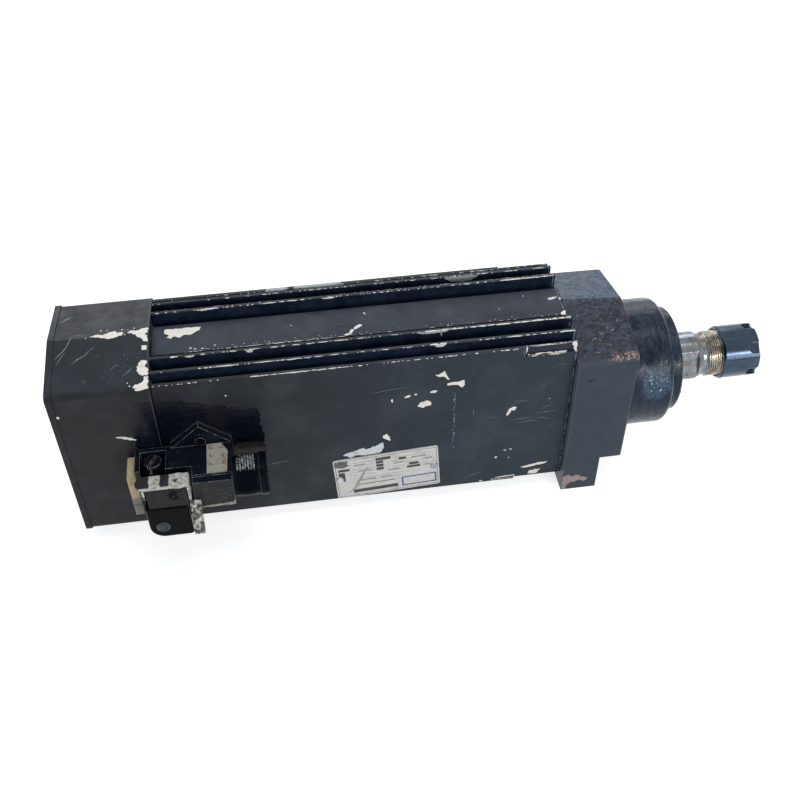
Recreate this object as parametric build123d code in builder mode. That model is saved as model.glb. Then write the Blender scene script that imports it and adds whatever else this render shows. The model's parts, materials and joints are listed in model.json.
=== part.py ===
"""Motor spindle: a rectangular finned motor whose shaft carries a collet nose.

Units are millimetres.  X is the spindle axis with the nose towards +X, Z is up, and X = 0
is the shoulder where the bearing housing leaves the front end shield.  The connector sits
on the -Y side, near the fan end.
"""
import math
import os

from build123d import *

os.makedirs("parts", exist_ok=True)

# ------------------------------------------------------------------ driving dimensions
# lengths along the axis
shield_len = 38.0          # front end shield
body_len = 250.0           # finned stator housing
cowl_len = 55.0            # fan cowl
grille_thk = 3.5           # plate that closes the cowl
rear_shield_thk = 16.0

# cross-section of the housing: flat sides, shallow gable above and below
body_half_w = 40.0
sheet = 2.0                # cowl sheet
cowl_corner = 58.3         # height of the cowl's upper corners above the axis
cowl_low = 56.5            # depth of its lower corners below the axis
cowl_ridge = 65.0          # height of the gable's ridge
cowl_bend_r = 4.0
rim_proud = 0.6            # how far the grille plate stands out of the cowl

# fins
floor_h = 46.5             # bottom of the grooves
wall_tip, wall_thk = 57.5, 3.0
fin_outer_y, fin_outer_tip = 31.0, 60.8
fin_inner_y, fin_inner_tip = 20.5, 62.2
fin_thk, fin_round = 2.4, 0.6
strip_half_w, strip_tip = 13.0, 57.3
step_len, step_h, step_depth = 32.0, 6.5, 1.7   # milled step at the front of each side wall

# motor
bore_r = 36.0              # housing bore, which holds the stator
stator_bore_r = 21.0
air_gap = 0.4
core_len = 140.0
core_front = -95.0         # front face of the stator core
slot_count, slot_w, slot_depth = 18, 4.0, 9.0
winding_overhang = 26.0
bar_count, bar_r, bar_pitch_r = 12, 1.8, 17.2
end_ring_len = 9.0

# spindle shaft
front_seat_r = 15.0        # front bearing bore, also the nose thread
rear_seat_r = 12.5
rotor_seat_r = 13.0
mid_r = 14.5
fan_seat_r = 7.0
fan_stub_len = 32.0        # shaft behind the rear shield, up to its fan end
flange_r, flange_len = 18.5, 6.5
collar_r, collar_front = 15.9, 55.2
neck_r, neck_len = 13.6, 2.4
across_flats, flat_len, flat_lean = 27.0, 13.0, 17.0
thread_start, nose_end = 61.1, 87.7
taper_angle, mouth_r, taper_depth = 8.0, 10.3, 25.5
drawbar_r, drawbar_depth = 6.5, 50.0

# bearings
front_brg_r, front_brg_w, front_ball_r, front_ball_count = 27.5, 13.0, 3.6, 10
rear_brg_r, rear_brg_w, rear_ball_r, rear_ball_count = 26.0, 15.0, 4.0, 8
front_brg_front = 20.7     # front face of the front pair
land = 2.6                 # least ring thickness beside the balls

# nose
boss_r, boss_len, boss_fillet = 41.0, 29.4, 3.8
cover_r, cover_front = 34.0, 37.1
spigot_r, spigot_len = 36.0, 20.0
cover_screw_r, cover_screw_count, cover_head_r = 30.6, 6, 2.75

# collet and nut
nut_r, nut_rear, nut_front = 17.5, 71.3, 96.1
nut_chamfer = 1.6
nut_notches, notch_w, notch_len, notch_depth = 6, 7.4, 7.8, 2.2
tool_r = 6.0
collet_rear, collet_front = 64.2, 96.9
ring_thk = 1.8

# front end shield
shield_half_w, shield_corner, shield_ridge = 45.5, 44.8, 58.5
shield_draft, ridge_draft, shield_fillet, corner_round = 0.4, 3.0, 1.5, 5.0
shield_low, shield_chin_w, shield_chin = -40.5, 27.0, -57.0
foot_thk = 23.4
foot_bottom = -68.0
foot_arch_half_w, foot_arch_h = 20.0, 9.0
foot_hole_y, foot_hole_r, foot_hole_depth = 33.0, 3.4, 18.0

# tie rods, cowl pillars
rod_y, rod_z, rod_r, rod_head_r, rod_head = 33.0, 39.0, 3.0, 5.0, 6.0
rod_in_shield = 16.0
pillar_y, pillar_z, pillar_r, pillar_screw_r = 18.0, 41.0, 4.0, 2.0

# connector: x and z are those of its mounting flange, every depth is from the housing's side wall
con_x, con_z = -265.4, -2.2
flange_half_w, flange_half_h, flange_thk = 17.2, 14.0, 3.5
ear_rise, ear_hole_rise = 15.0, 5.0
gasket_thk, gasket_proud = 1.2, 0.9
con_depth, con_wall = 33.5, 3.0        # housing side to the connector's front face
block_left, block_right, block_top, block_bottom = -286.5, -248.2, 11.6, -12.0
bay_left, bay_bottom, bay_wall, bay_depth = -304.2, -28.6, 3.0, 21.0
cap_x, cap_depth, cap_r, cap_top = -294.2, 11.5, 5.5, 9.4
entry_depth, entry_r, entry_bore_r, entry_end = 20.0, 12.2, 9.4, -227.6
entry_lip, entry_lip_r, entry_neck_r = 5.0, 12.9, 8.0

# plug with its hood and locking lever, their depths from the side wall too
hood_left, hood_right, hood_depth, hood_low, hood_top = -297.8, -275.2, 36.5, -5.0, 11.2
plug_left, plug_low, plug_depth, plug_round = -300.3, -30.5, 37.0, 9.0
pivot_depth, pivot_z, pivot_r, eye_r, pivot_gap = 31.3, 4.8, 1.6, 4.6, 0.05
lever_thk, lever_left, lever_back_depth, lever_front_depth = 1.4, -303.4, 27.0, 37.0
lever_low_depth, lever_low_z, handle_depth, handle_z, handle_w = 34.8, -3.0, 43.0, -24.0, 6.4
swing_r = 6.4                          # hood's radius about the lever pivot
end_plate_thk, end_plate_depth, end_plate_top, end_plate_low = 5.5, 18.0, 5.6, -26.0
tag_thk = 0.8

# nameplate
plate_w, plate_h, plate_thk, plate_x, plate_z, plate_lean = 67.0, 36.0, 0.8, -153.8, -36.6, 3.6

# clearances
run_gap = 0.05             # running fits, on the radius
seat_gap = 0.02            # spigots and seats inside one body
free_gap = 0.4             # pieces that pass each other

# ------------------------------------------------------------------ stations that follow
body_front = -shield_len
body_rear = body_front - body_len
cowl_rear = body_rear - cowl_len
grille_rear = cowl_rear - grille_thk
cowl_half_w = body_half_w + sheet
core_rear = core_front - core_len
rotor_r = stator_bore_r - air_gap
rear_shield_back = body_rear - rear_shield_thk
rear_brg_rear = rear_shield_back + 6.0
rear_brg_front = rear_brg_rear + rear_brg_w
fan_end = rear_shield_back - fan_stub_len
front_brg_rear = front_brg_front - 2 * front_brg_w
front_pitch_r = (front_seat_r + front_brg_r) / 2
rear_pitch_r = (rear_seat_r + rear_brg_r) / 2
flange_y = -body_half_w - gasket_thk
con_back = flange_y - flange_thk
con_front = -body_half_w - con_depth
bay_front = -body_half_w - bay_depth
bay_back = -cowl_half_w - 1.0
cap_y = -body_half_w - cap_depth
entry_y = -body_half_w - entry_depth
hood_front = -body_half_w - hood_depth
plug_front = -body_half_w - plug_depth
pivot_y = -body_half_w - pivot_depth
lever_back = -body_half_w - lever_back_depth
lever_front = -body_half_w - lever_front_depth
lever_low_y = -body_half_w - lever_low_depth
handle_y = -body_half_w - handle_depth
lever_top = hood_top + 2.0


def cowl_outline(inset):
    """Cowl section: flat sides with a shallow gable above and below, drawn inset."""
    half_w, ridge = cowl_half_w - inset, cowl_ridge - inset
    return Polygon((-half_w, inset - cowl_low), (-half_w, cowl_corner - inset), (0, ridge),
                   (half_w, cowl_corner - inset), (half_w, inset - cowl_low), (0, -ridge),
                   align=None)


def across(x):
    """Plane square to the axis at station x; its own x is Y and its own y is Z."""
    return Plane.YZ.offset(x)


def turned(points):
    """Half-profile of a turned piece, as (station, radius) points, filled."""
    return Polygon(*points, align=None)


def facing(y):
    """Plane parallel to the housing's side at depth y; its own axes are X and Z."""
    return Plane.XZ.offset(-y)


def finish(piece, label):
    """Label a finished piece and write its STEP file."""
    piece.part.label = label
    export_step(piece.part, f"parts/{label}.step")


# ------------------------------------------------------------------ fan cowl and grille
with BuildPart() as fan_cowl:
    with BuildSketch(across(cowl_rear)) as cowl_section:
        cowl_outline(0)
        fillet(cowl_section.vertices(), cowl_bend_r)
        offset(amount=-sheet, mode=Mode.SUBTRACT)
    extrude(amount=cowl_len)
finish(fan_cowl, "fan_cowl")

grille_lip = 5.0
with BuildPart() as rear_grille:
    with BuildSketch(across(grille_rear)) as rim:
        cowl_outline(-rim_proud)
        fillet(rim.vertices(), cowl_bend_r)
    extrude(amount=grille_thk)
    with BuildSketch(across(cowl_rear)):
        cowl_outline(2 * sheet)
        offset(amount=-sheet, mode=Mode.SUBTRACT)
    extrude(amount=grille_lip)
    with BuildSketch(across(grille_rear)):
        with PolarLocations(23, 18):
            SlotOverall(20, 3.4)
        with GridLocations(2 * pillar_y, 2 * pillar_z, 2, 2):
            Circle(pillar_screw_r + seat_gap)
    extrude(amount=grille_thk, mode=Mode.SUBTRACT)
finish(rear_grille, "rear_grille")

with BuildPart() as cowl_pillars:
    with BuildSketch(across(rear_shield_back)):
        with GridLocations(2 * pillar_y, 2 * pillar_z, 2, 2):
            RegularPolygon(pillar_r, 6)
    extrude(amount=cowl_rear - rear_shield_back)
    with BuildSketch(across(cowl_rear)):
        with GridLocations(2 * pillar_y, 2 * pillar_z, 2, 2):
            Circle(pillar_screw_r + seat_gap)
    extrude(amount=10, mode=Mode.SUBTRACT)
finish(cowl_pillars, "cowl_pillars")

with BuildPart() as grille_screws:
    with BuildSketch(across(grille_rear - 2)):
        with GridLocations(2 * pillar_y, 2 * pillar_z, 2, 2):
            Circle(2 * pillar_screw_r)
    extrude(amount=2)
    with BuildSketch(across(grille_rear)):
        with GridLocations(2 * pillar_y, 2 * pillar_z, 2, 2):
            Circle(pillar_screw_r)
    extrude(amount=grille_thk + 8)
finish(grille_screws, "grille_screws")

# ------------------------------------------------------------------ stator housing
fins = [(body_half_w - wall_thk / 2, wall_tip, wall_thk),
        (fin_outer_y, fin_outer_tip, fin_thk),
        (fin_inner_y, fin_inner_tip, fin_thk)]
duct_r = 8.0
rivet_r, rivet_len, rivet_reach = 1.3, 3.2, 30.5
ear_screw_r, ear_screw_len = 2.0, 10.0
ear_z = flange_half_h + ear_hole_rise
with BuildPart() as stator_housing:
    with BuildSketch(across(body_rear)) as body_section:
        for fin_y, fin_tip, thickness in fins:
            with Locations((-fin_y, 0), (fin_y, 0)):
                Rectangle(thickness, 2 * fin_tip)
        fillet(body_section.vertices(), fin_round)
        with Locations((0, 0)):
            Rectangle(2 * strip_half_w, 2 * strip_tip)
        Rectangle(2 * body_half_w, 2 * floor_h)
        Circle(bore_r, mode=Mode.SUBTRACT)
        with GridLocations(2 * rod_y, 2 * rod_z, 2, 2):
            Circle(rod_r + 0.3, mode=Mode.SUBTRACT)
    extrude(amount=body_len)
    # milled steps on the upper edge of each side wall
    with BuildSketch(across(body_front)):
        with GridLocations(2 * body_half_w, 2 * (wall_tip - step_h / 2), 2, 2):
            Rectangle(2 * step_depth, step_h)
    extrude(amount=-step_len, mode=Mode.SUBTRACT)
    # lead duct, screw holes of the connector, rivet holes of the nameplate
    with BuildSketch(Plane.XZ.offset(body_half_w)):
        with Locations((con_x, con_z)):
            Circle(duct_r)
    extrude(amount=-(body_half_w - bore_r / 2), mode=Mode.SUBTRACT)
    with BuildSketch(Plane.XZ.offset(body_half_w)):
        with Locations((con_x, con_z - ear_z), (con_x, con_z + ear_z)):
            Circle(ear_screw_r + seat_gap)
    extrude(amount=-ear_screw_len, mode=Mode.SUBTRACT)
    with BuildSketch(Plane.XZ.offset(body_half_w)):
        with Locations((plate_x, plate_z)):
            with PolarLocations(rivet_reach, 2, start_angle=plate_lean):
                Circle(rivet_r + seat_gap)
    extrude(amount=-rivet_len, mode=Mode.SUBTRACT)
finish(stator_housing, "stator_housing")

with BuildPart() as stator_core:
    with BuildSketch(across(core_rear)):
        Circle(bore_r - seat_gap)
        Circle(stator_bore_r, mode=Mode.SUBTRACT)
        with PolarLocations(stator_bore_r + slot_depth / 2 - 1, slot_count):
            Rectangle(slot_depth + 2, slot_w, mode=Mode.SUBTRACT)
    extrude(amount=core_len)
finish(stator_core, "stator_core")

with BuildPart() as stator_windings:
    with BuildSketch(across(core_rear)):
        with PolarLocations(stator_bore_r + slot_depth / 2 + 0.6, slot_count):
            Rectangle(slot_depth - 1.6, slot_w - 0.2)
    extrude(amount=core_len)
    for coil_start in (core_rear - winding_overhang, core_front):
        coil_mid = (coil_start + winding_overhang / 2, stator_bore_r + slot_depth / 2 + 1.6)
        with BuildSketch(Plane.XZ) as coil_section:
            with Locations(coil_mid):
                Rectangle(winding_overhang, slot_depth + 2)
            chamfer(coil_section.vertices(), 3.5)
        revolve(axis=Axis.X)
finish(stator_windings, "stator_windings")

# ------------------------------------------------------------------ rear end shield
shield_lip = 3.0
rear_spigot = 6.0
with BuildPart() as rear_end_shield:
    with BuildSketch(across(rear_shield_back)) as rear_outline:
        Rectangle(2 * (body_half_w - seat_gap), 2 * floor_h)
        fillet(rear_outline.vertices(), 4)
    extrude(amount=rear_shield_thk)
    with BuildSketch(across(body_rear)):
        Circle(bore_r - seat_gap)
    extrude(amount=rear_spigot)
    with BuildSketch(across(rear_shield_back + shield_lip)):
        Circle(rear_brg_r + seat_gap)
    extrude(amount=rear_shield_thk + rear_spigot, mode=Mode.SUBTRACT)
    with BuildSketch(across(rear_shield_back)):
        Circle(rear_seat_r + 3)
        with GridLocations(2 * rod_y, 2 * rod_z, 2, 2):
            Circle(rod_r + 0.3)
    extrude(amount=rear_shield_thk, mode=Mode.SUBTRACT)
finish(rear_end_shield, "rear_end_shield")

with BuildPart() as tie_rods:
    with BuildSketch(across(rear_shield_back - rod_head)):
        with GridLocations(2 * rod_y, 2 * rod_z, 2, 2):
            Circle(rod_head_r)
            RegularPolygon(rod_r, 6, mode=Mode.SUBTRACT)
    extrude(amount=rod_head)
    with BuildSketch(across(rear_shield_back - 2)):
        with GridLocations(2 * rod_y, 2 * rod_z, 2, 2):
            Circle(rod_r)
    extrude(amount=body_front + rod_in_shield - rear_shield_back + 2)
finish(tie_rods, "tie_rods")

# ------------------------------------------------------------------ front end shield
web_thk = 10.0
web_bore_r = 22.5
housing_screw_r, housing_screw_pitch = 2.5, 27.6
with BuildPart() as front_end_shield:
    for station, draft, drop in ((body_front, 0.0, 0.0), (0.0, shield_draft, ridge_draft)):
        half_w = shield_half_w - draft
        with BuildSketch(across(station)) as shield_section:
            Polygon((-half_w, shield_low), (-half_w, shield_corner), (0, shield_ridge - drop),
                    (half_w, shield_corner), (half_w, shield_low),
                    (shield_chin_w, shield_chin + draft), (-shield_chin_w, shield_chin + draft),
                    align=None)
            corners = shield_section.vertices().sort_by(Axis.Y)
            fillet(corners[-3:-1], corner_round)
    loft()
    fillet(front_end_shield.edges().filter_by(Axis.Y, reverse=True).group_by(Axis.X)[-1], shield_fillet)
    # foot across the rear of the casting, arched between its two pads
    with BuildSketch(across(body_front)) as foot_section:
        with Locations((0, (foot_bottom + shield_low) / 2)):
            Rectangle(2 * shield_half_w, shield_low - foot_bottom)
        with Locations((0, foot_bottom)):
            Rectangle(2 * foot_arch_half_w, 2 * foot_arch_h, mode=Mode.SUBTRACT)
    extrude(amount=foot_thk)
    with BuildSketch(across(-spigot_len)):
        Circle(spigot_r + seat_gap)
    extrude(amount=spigot_len, mode=Mode.SUBTRACT)
    with BuildSketch(across(body_front)):
        Circle(bore_r - 4)
    extrude(amount=shield_len - spigot_len - web_thk, mode=Mode.SUBTRACT)
    with BuildSketch(across(body_front)):
        Circle(web_bore_r)
        with PolarLocations(housing_screw_pitch, 4, start_angle=45):
            Circle(housing_screw_r + 0.2)
    extrude(amount=shield_len, mode=Mode.SUBTRACT)
    with BuildSketch(across(body_front)):
        with GridLocations(2 * rod_y, 2 * rod_z, 2, 2):
            Circle(rod_r + seat_gap)
    extrude(amount=rod_in_shield + 1, mode=Mode.SUBTRACT)
    with BuildSketch(across(body_front)):
        Circle(bore_r - seat_gap)
        Circle(bore_r - 4, mode=Mode.SUBTRACT)
    extrude(amount=-5)
    with BuildSketch(Plane.XY.offset(foot_bottom)):
        with Locations((body_front + foot_thk / 2, -foot_hole_y), (body_front + foot_thk / 2, foot_hole_y)):
            Circle(foot_hole_r)
    extrude(amount=foot_hole_depth, mode=Mode.SUBTRACT)
finish(front_end_shield, "front_end_shield")

# ------------------------------------------------------------------ bearing housing and cover
lip_r = front_brg_r - 3.5
with BuildPart() as bearing_housing:
    with BuildSketch(Plane.XZ):
        turned([(-spigot_len, lip_r), (-spigot_len, spigot_r), (0, spigot_r), (0, boss_r),
                (boss_len, boss_r), (boss_len, front_brg_r + seat_gap),
                (front_brg_rear, front_brg_r + seat_gap), (front_brg_rear, lip_r)])
    revolve(axis=Axis.X)
    fillet(bearing_housing.edges().filter_by(GeomType.CIRCLE).group_by(Axis.X)[-1].sort_by(
        SortBy.RADIUS)[-1], boss_fillet)
    with BuildSketch(across(-spigot_len)):
        with PolarLocations(housing_screw_pitch, 4, start_angle=45):
            Circle(housing_screw_r + seat_gap)
    extrude(amount=12, mode=Mode.SUBTRACT)
    with BuildSketch(across(boss_len)):
        with PolarLocations(cover_screw_r, cover_screw_count):
            Circle(1.5 + seat_gap)
    extrude(amount=-10, mode=Mode.SUBTRACT)
finish(bearing_housing, "bearing_housing")

with BuildPart() as housing_screws:
    with BuildSketch(across(-spigot_len - web_thk - 5)):
        with PolarLocations(housing_screw_pitch, 4, start_angle=45):
            Circle(1.7 * housing_screw_r - 0.3)
    extrude(amount=5)
    with BuildSketch(across(-spigot_len - web_thk)):
        with PolarLocations(housing_screw_pitch, 4, start_angle=45):
            Circle(housing_screw_r)
    extrude(amount=web_thk + 11)
finish(housing_screws, "housing_screws")

seal_w, seal_r = 4.0, 20.0
with BuildPart() as front_cover:
    with BuildSketch(Plane.XZ):
        turned([(front_brg_front, lip_r), (front_brg_front, front_brg_r - seat_gap),
                (boss_len, front_brg_r - seat_gap), (boss_len, cover_r), (cover_front, cover_r),
                (cover_front, collar_r + free_gap), (cover_front - 2.2, collar_r + free_gap),
                (cover_front - 2.2, seal_r), (cover_front - 2.2 - seal_w, seal_r),
                (cover_front - 2.2 - seal_w, collar_r + free_gap),
                (front_brg_front + flange_len + 1, collar_r + free_gap),
                (front_brg_front + flange_len + 1, lip_r)])
    revolve(axis=Axis.X)
    chamfer(front_cover.edges().filter_by(GeomType.CIRCLE).group_by(Axis.X)[-1].sort_by(
        SortBy.RADIUS)[-1], 1.0)
    with Locations(across(cover_front)):
        with PolarLocations(cover_screw_r, cover_screw_count):
            CounterSinkHole(1.5 + seat_gap, cover_head_r + seat_gap)
finish(front_cover, "front_cover")

with BuildPart() as cover_screws:
    with Locations(across(cover_front)):
        with PolarLocations(cover_screw_r, cover_screw_count):
            Cone(1.5, cover_head_r, cover_head_r - 1.5, align=(Align.CENTER, Align.CENTER, Align.MAX))
            Cylinder(1.5, cover_front - boss_len + 8, align=(Align.CENTER, Align.CENTER, Align.MAX))
finish(cover_screws, "cover_screws")

with BuildPart() as shaft_seal:
    with BuildSketch(Plane.XZ):
        turned([(cover_front - 2.2 - seal_w + 0.1, collar_r + 0.1),
                (cover_front - 2.2 - seal_w + 0.1, seal_r), (cover_front - 2.3, seal_r),
                (cover_front - 2.3, collar_r + 0.1)])
    revolve(axis=Axis.X)
finish(shaft_seal, "shaft_seal")


# ------------------------------------------------------------------ bearings
def outer_ring(rear, width, outer_r, pitch_r, ball_r):
    """Half-section of an outer ring with its ball groove."""
    with Locations((rear + width / 2, (pitch_r + land + outer_r) / 2)):
        Rectangle(width, outer_r - pitch_r - land)
    with Locations((rear + width / 2, pitch_r)):
        Circle(ball_r + run_gap, mode=Mode.SUBTRACT)


def inner_ring(rear, width, seat_r, pitch_r, ball_r):
    """Half-section of an inner ring with its ball groove."""
    with Locations((rear + width / 2, (seat_r + pitch_r - land) / 2)):
        Rectangle(width, pitch_r - land - seat_r)
    with Locations((rear + width / 2, pitch_r)):
        Circle(ball_r + run_gap, mode=Mode.SUBTRACT)


front_pair = [front_brg_rear, front_brg_rear + front_brg_w]
with BuildPart() as front_bearing_outer_rings:
    with BuildSketch(Plane.XZ):
        for ring_rear in front_pair:
            outer_ring(ring_rear, front_brg_w, front_brg_r, front_pitch_r, front_ball_r)
    revolve(axis=Axis.X)
finish(front_bearing_outer_rings, "front_bearing_outer_rings")

with BuildPart() as front_bearing_inner_rings:
    with BuildSketch(Plane.XZ):
        for ring_rear in front_pair:
            inner_ring(ring_rear, front_brg_w, front_seat_r + seat_gap, front_pitch_r, front_ball_r)
    revolve(axis=Axis.X)
finish(front_bearing_inner_rings, "front_bearing_inner_rings")

with BuildPart() as front_bearing_balls:
    for ring_rear in front_pair:
        with Locations(across(ring_rear + front_brg_w / 2)):
            with PolarLocations(front_pitch_r, front_ball_count):
                Sphere(front_ball_r)
finish(front_bearing_balls, "front_bearing_balls")

with BuildPart() as rear_bearing_outer_ring:
    with BuildSketch(Plane.XZ):
        outer_ring(rear_brg_rear, rear_brg_w, rear_brg_r, rear_pitch_r, rear_ball_r)
    revolve(axis=Axis.X)
finish(rear_bearing_outer_ring, "rear_bearing_outer_ring")

with BuildPart() as rear_bearing_inner_ring:
    with BuildSketch(Plane.XZ):
        inner_ring(rear_brg_rear, rear_brg_w, rear_seat_r + seat_gap, rear_pitch_r, rear_ball_r)
    revolve(axis=Axis.X)
finish(rear_bearing_inner_ring, "rear_bearing_inner_ring")

with BuildPart() as rear_bearing_balls:
    with Locations(across(rear_brg_rear + rear_brg_w / 2)):
        with PolarLocations(rear_pitch_r, rear_ball_count):
            Sphere(rear_ball_r)
finish(rear_bearing_balls, "rear_bearing_balls")

with BuildPart() as preload_spring:
    with BuildSketch(across(rear_shield_back + shield_lip)):
        Circle(rear_brg_r - 0.2)
        Circle(rear_brg_r - 4, mode=Mode.SUBTRACT)
    extrude(amount=rear_brg_rear - rear_shield_back - shield_lip)
finish(preload_spring, "preload_spring")

# ------------------------------------------------------------------ spindle shaft
taper_tan = math.tan(math.radians(taper_angle))
cone_back = nose_end - taper_depth
with BuildPart() as spindle_shaft:
    with BuildSketch(Plane.XZ):
        turned([(fan_end, 0), (fan_end, fan_seat_r), (rear_brg_rear - 1, fan_seat_r),
                (rear_brg_rear - 1, rear_seat_r), (rear_brg_front, rear_seat_r),
                (rear_brg_front, rotor_seat_r), (core_front + end_ring_len, rotor_seat_r),
                (core_front + end_ring_len, mid_r), (front_brg_rear - 12, mid_r),
                (front_brg_rear - 12, front_seat_r), (front_brg_front, front_seat_r),
                (front_brg_front, flange_r), (front_brg_front + flange_len, flange_r),
                (front_brg_front + flange_len, collar_r), (collar_front, collar_r),
                (thread_start - neck_len, front_seat_r - 0.6), (thread_start - neck_len, neck_r),
                (thread_start, neck_r), (thread_start + 1, front_seat_r),
                (nose_end - 1, front_seat_r), (nose_end, front_seat_r - 1),
                (nose_end, mouth_r + run_gap),
                (cone_back, mouth_r + run_gap - taper_depth * taper_tan),
                (cone_back, drawbar_r), (nose_end - drawbar_depth, drawbar_r),
                (nose_end - drawbar_depth, 0)])
    revolve(axis=Axis.X)
    # two spanner flats on the collar, just ahead of the cover
    with BuildSketch(across(collar_front)):
        for side in (0, 180):
            with PolarLocations(across_flats / 2 + 3, 1, start_angle=180 - flat_lean + side):
                Rectangle(6, 3 * collar_r)
    extrude(amount=-flat_len, mode=Mode.SUBTRACT)
finish(spindle_shaft, "spindle_shaft")

with BuildPart() as bearing_locknut:
    with BuildSketch(across(front_brg_rear - 10)):
        Circle(lip_r - 2.5)
        Circle(front_seat_r + seat_gap, mode=Mode.SUBTRACT)
        with PolarLocations(lip_r - 2.5, 4):
            Rectangle(4, 5, mode=Mode.SUBTRACT)
    extrude(amount=10)
finish(bearing_locknut, "bearing_locknut")

with BuildPart() as rotor_core:
    with BuildSketch(across(core_rear)):
        Circle(rotor_r)
        Circle(rotor_seat_r + seat_gap, mode=Mode.SUBTRACT)
        with PolarLocations(bar_pitch_r, bar_count):
            Circle(bar_r + seat_gap, mode=Mode.SUBTRACT)
    extrude(amount=core_len)
finish(rotor_core, "rotor_core")

with BuildPart() as rotor_cage:
    with BuildSketch(across(core_rear)):
        with PolarLocations(bar_pitch_r, bar_count):
            Circle(bar_r)
    extrude(amount=core_len)
    for ring_start in (core_rear - end_ring_len, core_front):
        with BuildSketch(across(ring_start)):
            Circle(rotor_r - 0.6)
            Circle(rotor_seat_r + 1, mode=Mode.SUBTRACT)
        extrude(amount=end_ring_len)
finish(rotor_cage, "rotor_cage")

# ------------------------------------------------------------------ cooling fan
fan_r, fan_behind_shield, fan_len, hub_r = 34.0, 11.0, 19.0, 13.0
fan_front = rear_shield_back - fan_behind_shield
blade_count, blade_thk, disc_thk = 8, 2.0, 2.5
with BuildPart() as cooling_fan:
    with BuildSketch(across(fan_front)):
        Circle(fan_r)
    extrude(amount=-disc_thk)
    with BuildSketch(across(fan_front)):
        Circle(hub_r)
        with PolarLocations((hub_r + fan_r) / 2 - 1, blade_count):
            Rectangle(fan_r - hub_r + 2, blade_thk)
    extrude(amount=-fan_len)
    with BuildSketch(across(fan_front)):
        Circle(fan_seat_r + seat_gap)
    extrude(amount=-fan_len, mode=Mode.SUBTRACT)
finish(cooling_fan, "cooling_fan")

with BuildPart() as fan_clip:
    with BuildSketch(across(fan_front - fan_len - 1.2)):
        Circle(fan_seat_r + 2.5)
        Circle(fan_seat_r + seat_gap, mode=Mode.SUBTRACT)
        with Locations((0, fan_seat_r + 2)):
            Rectangle(4, 6, mode=Mode.SUBTRACT)
    extrude(amount=1.2)
finish(fan_clip, "fan_clip")

# ------------------------------------------------------------------ collet, ring and nut
ring_rear = nose_end + free_gap
ring_front = ring_rear + ring_thk
cavity_r = front_seat_r + run_gap
with BuildPart() as collet:
    small_r = mouth_r - (nose_end - collet_rear) * taper_tan
    with BuildSketch(Plane.XZ):
        turned([(collet_rear, tool_r), (collet_rear, small_r), (nose_end, mouth_r),
                (ring_rear, mouth_r), (ring_rear, mouth_r - 1.2), (ring_front, mouth_r - 1.2),
                (ring_front, mouth_r), (collet_front, mouth_r - 3.0), (collet_front, tool_r)])
    revolve(axis=Axis.X)
    with BuildSketch(across(collet_rear)):
        for turn in range(4):
            with PolarLocations(8, 1, start_angle=90 * turn):
                Rectangle(10, 0.8)
    extrude(amount=collet_front - collet_rear - 6, mode=Mode.SUBTRACT)
    with BuildSketch(across(collet_front)):
        for turn in range(4):
            with PolarLocations(8, 1, start_angle=45 + 90 * turn):
                Rectangle(10, 0.8)
    extrude(amount=-(collet_front - collet_rear - 6), mode=Mode.SUBTRACT)
finish(collet, "collet")

with BuildPart() as extractor_ring:
    with BuildSketch(Plane.XZ):
        turned([(ring_rear + 0.1, mouth_r - 1.1), (ring_rear + 0.1, cavity_r - free_gap),
                (ring_front - 0.1, cavity_r - free_gap), (ring_front - 0.1, mouth_r - 1.1)])
    revolve(axis=Axis.X)
finish(extractor_ring, "extractor_ring")

with BuildPart() as collet_nut:
    with BuildSketch(Plane.XZ):
        turned([(nut_rear, cavity_r + 1.4), (nut_rear, nut_r - nut_chamfer),
                (nut_rear + nut_chamfer, nut_r), (nut_front - 0.8, nut_r),
                (nut_front, nut_r - 0.8), (nut_front, mouth_r - 1.6),
                (ring_front + 0.3, mouth_r + 1.5), (ring_front + 0.3, cavity_r),
                (nut_rear + 1.4, cavity_r)])
    revolve(axis=Axis.X)
    with BuildSketch(across(nut_front)):
        with PolarLocations(nut_r, nut_notches, start_angle=16):
            Rectangle(2 * notch_depth, notch_w)
    extrude(amount=-(notch_len - notch_w / 2), mode=Mode.SUBTRACT)
    with Locations(across(nut_front - notch_len + notch_w / 2)):
        with PolarLocations(nut_r, nut_notches, start_angle=16):
            Cylinder(notch_w / 2, 2 * notch_depth, rotation=(0, 90, 0), mode=Mode.SUBTRACT)
finish(collet_nut, "collet_nut")

# ------------------------------------------------------------------ nameplate
lean = math.radians(plate_lean)
plate_plane = Plane(origin=(plate_x, -body_half_w, plate_z), x_dir=(math.cos(lean), 0, math.sin(lean)),
                    z_dir=(0, -1, 0))
with BuildPart() as nameplate:
    with BuildSketch(plate_plane):
        RectangleRounded(plate_w, plate_h, 1.5)
        with GridLocations(2 * rivet_reach, 1, 2, 1):
            Circle(rivet_r + seat_gap, mode=Mode.SUBTRACT)
    extrude(amount=plate_thk)
finish(nameplate, "nameplate")

with BuildPart() as nameplate_rivets:
    with BuildSketch(plate_plane.offset(plate_thk)):
        with GridLocations(2 * rivet_reach, 1, 2, 1):
            Circle(2 * rivet_r)
    extrude(amount=0.8, taper=20)
    with BuildSketch(plate_plane.offset(plate_thk)):
        with GridLocations(2 * rivet_reach, 1, 2, 1):
            Circle(rivet_r)
    extrude(amount=-plate_thk - rivet_len + 0.2)
finish(nameplate_rivets, "nameplate_rivets")

# ------------------------------------------------------------------ connector
def flange_outline(grow):
    """Rectangle with a pointed ear above and below."""
    half_w, half_h, apex = flange_half_w + grow, flange_half_h + grow, flange_half_h + ear_rise + grow
    return Polygon((-half_w, -half_h), (0, -apex), (half_w, -half_h),
                   (half_w, half_h), (0, apex), (-half_w, half_h), align=None)


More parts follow.
